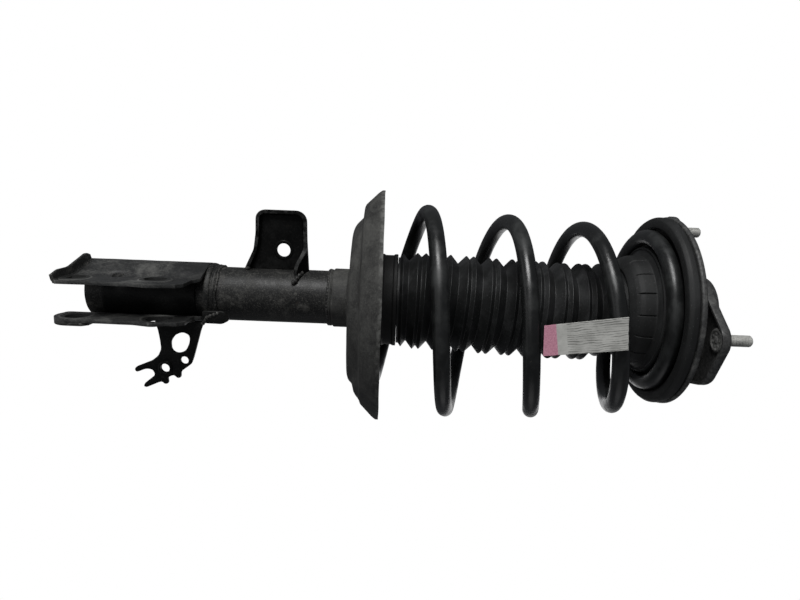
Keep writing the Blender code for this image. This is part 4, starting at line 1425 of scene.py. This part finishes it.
band_low, band_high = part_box("bracket_band")
turned(
    "wrap_band",
    [
        (TUBE_R + 0.3 * MM, band_low.z),
        (band_high.x - 0.2 * MM, band_low.z),
        (band_high.x, band_low.z + 2.0 * MM),
        (band_high.x - 0.6 * MM, band_low.z + 4.6 * MM),
        (band_high.x - 1.9 * MM, band_low.z + 5.4 * MM),
        (band_high.x - 1.6 * MM, band_low.z + 6.4 * MM),
        (band_high.x - 1.2 * MM, band_high.z - 2.4 * MM),
        (TUBE_R + 0.5 * MM, band_high.z),
        (TUBE_R + 0.3 * MM, band_high.z),
    ],
    black_paint, "damper_body", "black_paint", ["bracket_band"], soften=0.9 * MM,
)
weld_bead(
    "band_weld", ring_line(TUBE_R + 0.5 * MM, band_high.z, wave=0.5 * MM), 1.2 * MM,
    black_paint, "damper_body",
)


# ---------------------------------------------------------------- hose bracket

HOSE_Y = -30.0 * MM
HOSE_T = 3.4 * MM
hose_low, hose_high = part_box("hose_bracket")
hose_edge = in_mm(
    [
        (21.1, -495.5),
        (30.9, -492.7),
        (40.0, -491.2),
        (48.4, -490.4),
        (55.1, -493.2),
        (60.3, -499.4),
        (66.9, -514.6),
        (69.5, -516.0),
        (72.1, -514.1),
        (68.7, -506.1),
        (68.4, -502.4),
        (69.2, -499.4),
        (71.5, -497.7),
        (74.5, -497.3),
        (82.4, -506.9),
        (85.5, -508.2),
        (86.7, -505.6),
        (81.4, -494.2),
        (80.3, -490.6),
        (82.9, -488.1),
        (81.9, -484.5),
        (76.0, -485.3),
        (73.4, -479.3),
        (76.7, -476.0),
        (75.7, -472.8),
        (70.0, -472.8),
        (62.3, -462.7),
        (55.1, -460.1),
        (28.9, -452.9),
        (22.7, -450.5),
        (23.0, -433.5),
        (19.6, -427.0),
        (11.0, -431.5),
        (11.0, -451.4),
        (21.1, -451.4),
    ]
)
hose_window = in_mm(
    [
        (31.9, -470.2),
        (34.0, -464.7),
        (37.1, -463.4),
        (42.3, -464.0),
        (48.9, -467.1),
        (51.8, -471.6),
        (52.1, -476.8),
        (48.8, -480.8),
        (40.8, -481.1),
        (34.9, -477.1),
    ]
)
clip_hole = circle(58.9 * MM, -469.0 * MM, 3.7 * MM, 36)
hose_bolt_hole = circle(66.9 * MM, -487.0 * MM, 4.3 * MM, 36)
hose_outlines = [rounded(hose_edge, 2.2 * MM, 4), rounded(hose_window, 3.0 * MM, 4)]
# The fork and its boss wear the darker paint, which is painted shade.
plate(
    "hose_fork", hose_outlines + [clip_hole, hose_bolt_hole], HOSE_T, facing_y(HOSE_Y),
    shaded_black_paint, "damper_body", ["hose_bracket"], 0.7 * MM,
)
boss_profile = [
    (4.35 * MM, 3.0 * MM),
    (5.6 * MM, 3.1 * MM),
    (6.9 * MM, 2.4 * MM),
    (7.6 * MM, 1.2 * MM),
    (7.6 * MM, -1.0 * MM),
    (4.35 * MM, -1.0 * MM),
]
points, faces = lathe(rounded(boss_profile, 0.5 * MM, 3), steps=48)
boss = piece("hose_boss", points, faces, shaded_black_paint, "damper_body")
turn_to_front = Matrix.Translation((66.9 * MM, HOSE_Y, -487.0 * MM)) @ Matrix.Rotation(pi / 2, 4, "X")
boss.data.transform(turn_to_front)

hose_weld = [(20.6 * MM, -32.2 * MM, z * MM) for z in (-493.0, -482.0, -470.0, -458.0)]
weld_bead("hose_weld", hose_weld, 2.0 * MM, black_paint, "damper_body")
# The skirt's rolled edge, where the hose bracket's plate folds back to the band.
skirt_line = [(x * MM, -31.0 * MM, z * MM) for x, z in ((24.5, -452.2), (17.0, -447.0), (12.4, -436.0))]
weld_bead("skirt_weld", skirt_line, 1.8 * MM, black_paint, "damper_body")


# ---------------------------------------------------------------- link bracket

LINK_T = 3.2 * MM
LINK_HOLE = (-44.0 * MM, -382.7 * MM)
link_edge = in_mm([(-21.0, -416.8), (-26.0, -416.8), (-44.0, -408.4), (-60.0, -406.4)])
link_edge += arc(-73.0 * MM, -399.3 * MM, 7.0 * MM, -90, -180, 8)
link_edge += arc(-71.0 * MM, -371.0 * MM, 9.0 * MM, 180, 90, 8)
link_edge += in_mm([(-54.0, -361.6), (-26.0, -359.8), (-21.0, -359.8)])
link_outline = rounded(link_edge, 3.0 * MM, 3, closed=False)
link_path = spaced(link_outline, 1.2 * MM)
floor_edge = [Vector(p) for p in link_outline]
link_middle = Vector((-44.0 * MM, -386.0 * MM))
link_floor = [tuple(p + (link_middle - p).normalized() * 1.8 * MM) for p in floor_edge]
floor_mesh = plate_mesh(
    "link_floor", [link_floor, circle(*LINK_HOLE, 6.35 * MM, 60)], LINK_T, 0.4 * MM
)
floor_mesh.transform(facing_y(0.0))

rim_rows = []
for n, (x, z) in enumerate(link_path):
    before = Vector(link_path[max(n - 1, 0)])
    after = Vector(link_path[min(n + 1, len(link_path) - 1)])
    along = (after - before).normalized()
    outward = Vector((along.y, -along.x))
    if outward.dot(Vector((x, z)) - link_middle) < 0:
        outward = -outward
    far_side = smoothstep(-400.0 * MM, -375.0 * MM, z)
    flare = far_side * (1 - smoothstep(26.0 * MM, 50.0 * MM, -x))
    depth = 6.6 * MM + 12.5 * MM * flare
    row = [(-3.2 * MM, 0.0)]
    for step in range(7):
        angle = pi / 2 * step / 6
        row.append((-2.4 * MM + 2.4 * MM * sin(angle), -2.4 * MM * (1 - cos(angle))))
    for step in range(1, 7):
        row.append((0.0, -2.4 * MM - (depth - 2.4 * MM) * step / 6))
    swing = 8.5 * MM * flare
    rim_rows.append(
        [
            (x + outward.x * o, y, z + outward.y * o - swing * smoothstep(0.15, 1.0, -y / depth))
            for o, y in row
        ]
    )
rim_mesh = sheet_mesh(rim_rows, LINK_T, 0.7 * MM)
boss_ring = [(6.4 * MM, 2.0 * MM), (9.0 * MM, 2.0 * MM), (9.8 * MM, 1.2 * MM), (9.8 * MM, -1.0 * MM)]
boss_ring.append((6.4 * MM, -1.0 * MM))
ring_points, ring_faces = lathe(rounded(boss_ring, 0.4 * MM, 3), steps=60)
to_front = Matrix.Translation((LINK_HOLE[0], 0.0, LINK_HOLE[1])) @ Matrix.Rotation(pi / 2, 4, "X")
ring_points = [to_front @ Vector(p) for p in ring_points]
points, faces = joined("link", parts_of(floor_mesh), parts_of(rim_mesh), (ring_points, ring_faces))
piece(
    "link_tray", points, faces, link_paint, "damper_body", ["link_bracket"], 36
)
link_weld = [(-25.0 * MM, 5.0 * MM, z * MM) for z in (-416.0, -400.0, -380.0, -362.0)]
weld_bead("link_weld", link_weld, 2.3 * MM, black_paint, "damper_body")
foot_weld = in_mm([(-26.0, -4.0, -361.5), (-24.0, -12.0, -364.5), (-18.5, -20.0, -368.5), (-15.5, -22.5, -371.0)])
weld_bead("link_foot_weld", foot_weld, 2.4 * MM, black_paint, "damper_body")
low_weld = [(x * MM, y * MM, -415.8 * MM) for x, y in ((-27.0, -3.0), (-25.5, -7.5))]
weld_bead("link_low_weld", low_weld, 2.2 * MM, black_paint, "damper_body")


# ---------------------------------------------------------------- pieces that keep their CAD shape

KEPT = {
    "mount_core": bright_zinc,
    "bearing_cage": bright_zinc,
    "rebound_stop": foam,
    "piston": bright_zinc,
    "piston_nut": bright_zinc,
    "bump_stop_cup": bright_zinc,
    "bump_stop": foam,
    "pressure_tube": bright_zinc,
    "base_valve": bright_zinc,
    "rod_guide": bright_zinc,
    "rod_seal": black_rubber,
    "tube_end_cap": black_paint,
}
for name, finish in KEPT.items():
    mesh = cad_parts[name].data
    mesh.materials.clear()
    mesh.materials.append(finish)


# ---------------------------------------------------------------- camera, light and floor

VIEW_TURN = radians(11.0)
ROLL = radians(2.2)
DISTANCE = 0.5775
AIM_Z = -0.2709
LENS = 27.0
SENSOR = 36.0

to_camera = Vector((-sin(VIEW_TURN), -cos(VIEW_TURN), 0.0))
side_up = Vector((-cos(VIEW_TURN), sin(VIEW_TURN), 0.0))
axis_up = Vector((0.0, 0.0, 1.0))
right = axis_up * cos(ROLL) + side_up * sin(ROLL)
up = side_up * cos(ROLL) - axis_up * sin(ROLL)

camera = bpy.data.objects.new("camera", bpy.data.cameras.new("camera"))
camera.data.lens = LENS
camera.data.sensor_width = SENSOR
bpy.context.scene.collection.objects.link(camera)
turn = Matrix((right, up, to_camera)).transposed()
camera.matrix_world = Matrix.Translation(Vector((0, 0, AIM_Z)) + to_camera * DISTANCE) @ turn.to_4x4()
bpy.context.scene.camera = camera


def soft_light(name, direction, distance, size, power):
    lamp = bpy.data.lights.new(name, "AREA")
    lamp.shape = "DISK"
    lamp.size = size
    lamp.energy = power
    made = bpy.data.objects.new(name, lamp)
    bpy.context.scene.collection.objects.link(made)
    way = Vector(direction).normalized()
    made.location = Vector((0.0, 0.0, AIM_Z)) + way * distance
    made.rotation_mode = "QUATERNION"
    made.rotation_quaternion = way.to_track_quat("Z", "Y")
    return made


soft_light("key_light", (-0.86, -0.46, -0.12), 1.7, 0.9, 27.0)
soft_light("front_light", (-0.25, -0.9, -0.45), 1.9, 1.4, 2.2)
soft_light("far_light", (0.45, 0.95, 0.35), 2.0, 1.6, 6.0)
soft_light("low_light", (0.9, -0.1, 0.1), 1.9, 1.4, 1.6)

world = bpy.data.worlds.new("studio")
bpy.context.scene.world = world
world.use_nodes = True
world_nodes = world.node_tree.nodes
backdrop = world_nodes["Background"]
backdrop.inputs["Color"].default_value = (0.9, 0.93, 1.0, 1.0)
backdrop.inputs["Strength"].default_value = 0.1
white = world_nodes.new("ShaderNodeBackground")
white.inputs["Color"].default_value = (1.0, 1.0, 1.0, 1.0)
white.inputs["Strength"].default_value = 1.0
path = world_nodes.new("ShaderNodeLightPath")
mixer = world_nodes.new("ShaderNodeMixShader")
world.node_tree.links.new(path.outputs["Is Camera Ray"], mixer.inputs["Fac"])
world.node_tree.links.new(backdrop.outputs["Background"], mixer.inputs[1])
world.node_tree.links.new(white.outputs["Background"], mixer.inputs[2])
world.node_tree.links.new(mixer.outputs["Shader"], world_nodes["World Output"].inputs["Surface"])

FLOOR_Z_LEVEL = -1.3
floor_mesh = bpy.data.meshes.new("floor")
work = bmesh.new()
bmesh.ops.create_circle(work, cap_ends=True, segments=96, radius=0.9)
work.to_mesh(floor_mesh)
work.free()
floor = bpy.data.objects.new("floor", floor_mesh)
floor.location = (0.0, 0.0, FLOOR_Z_LEVEL)
bpy.context.scene.collection.objects.link(floor)
floor_finish = Finish("pale_floor", 0.8)
floor_tone = floor_finish.noise(3.0, 2.0)
floor_finish.colour(floor_finish.mix(floor_tone, (0.82, 0.82, 0.82), (0.88, 0.88, 0.88)))
floor_mesh.materials.append(floor_finish.material)
floor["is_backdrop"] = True

bpy.context.scene.view_settings.view_transform = "Standard"
bpy.context.scene.view_settings.look = "None"

low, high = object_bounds()
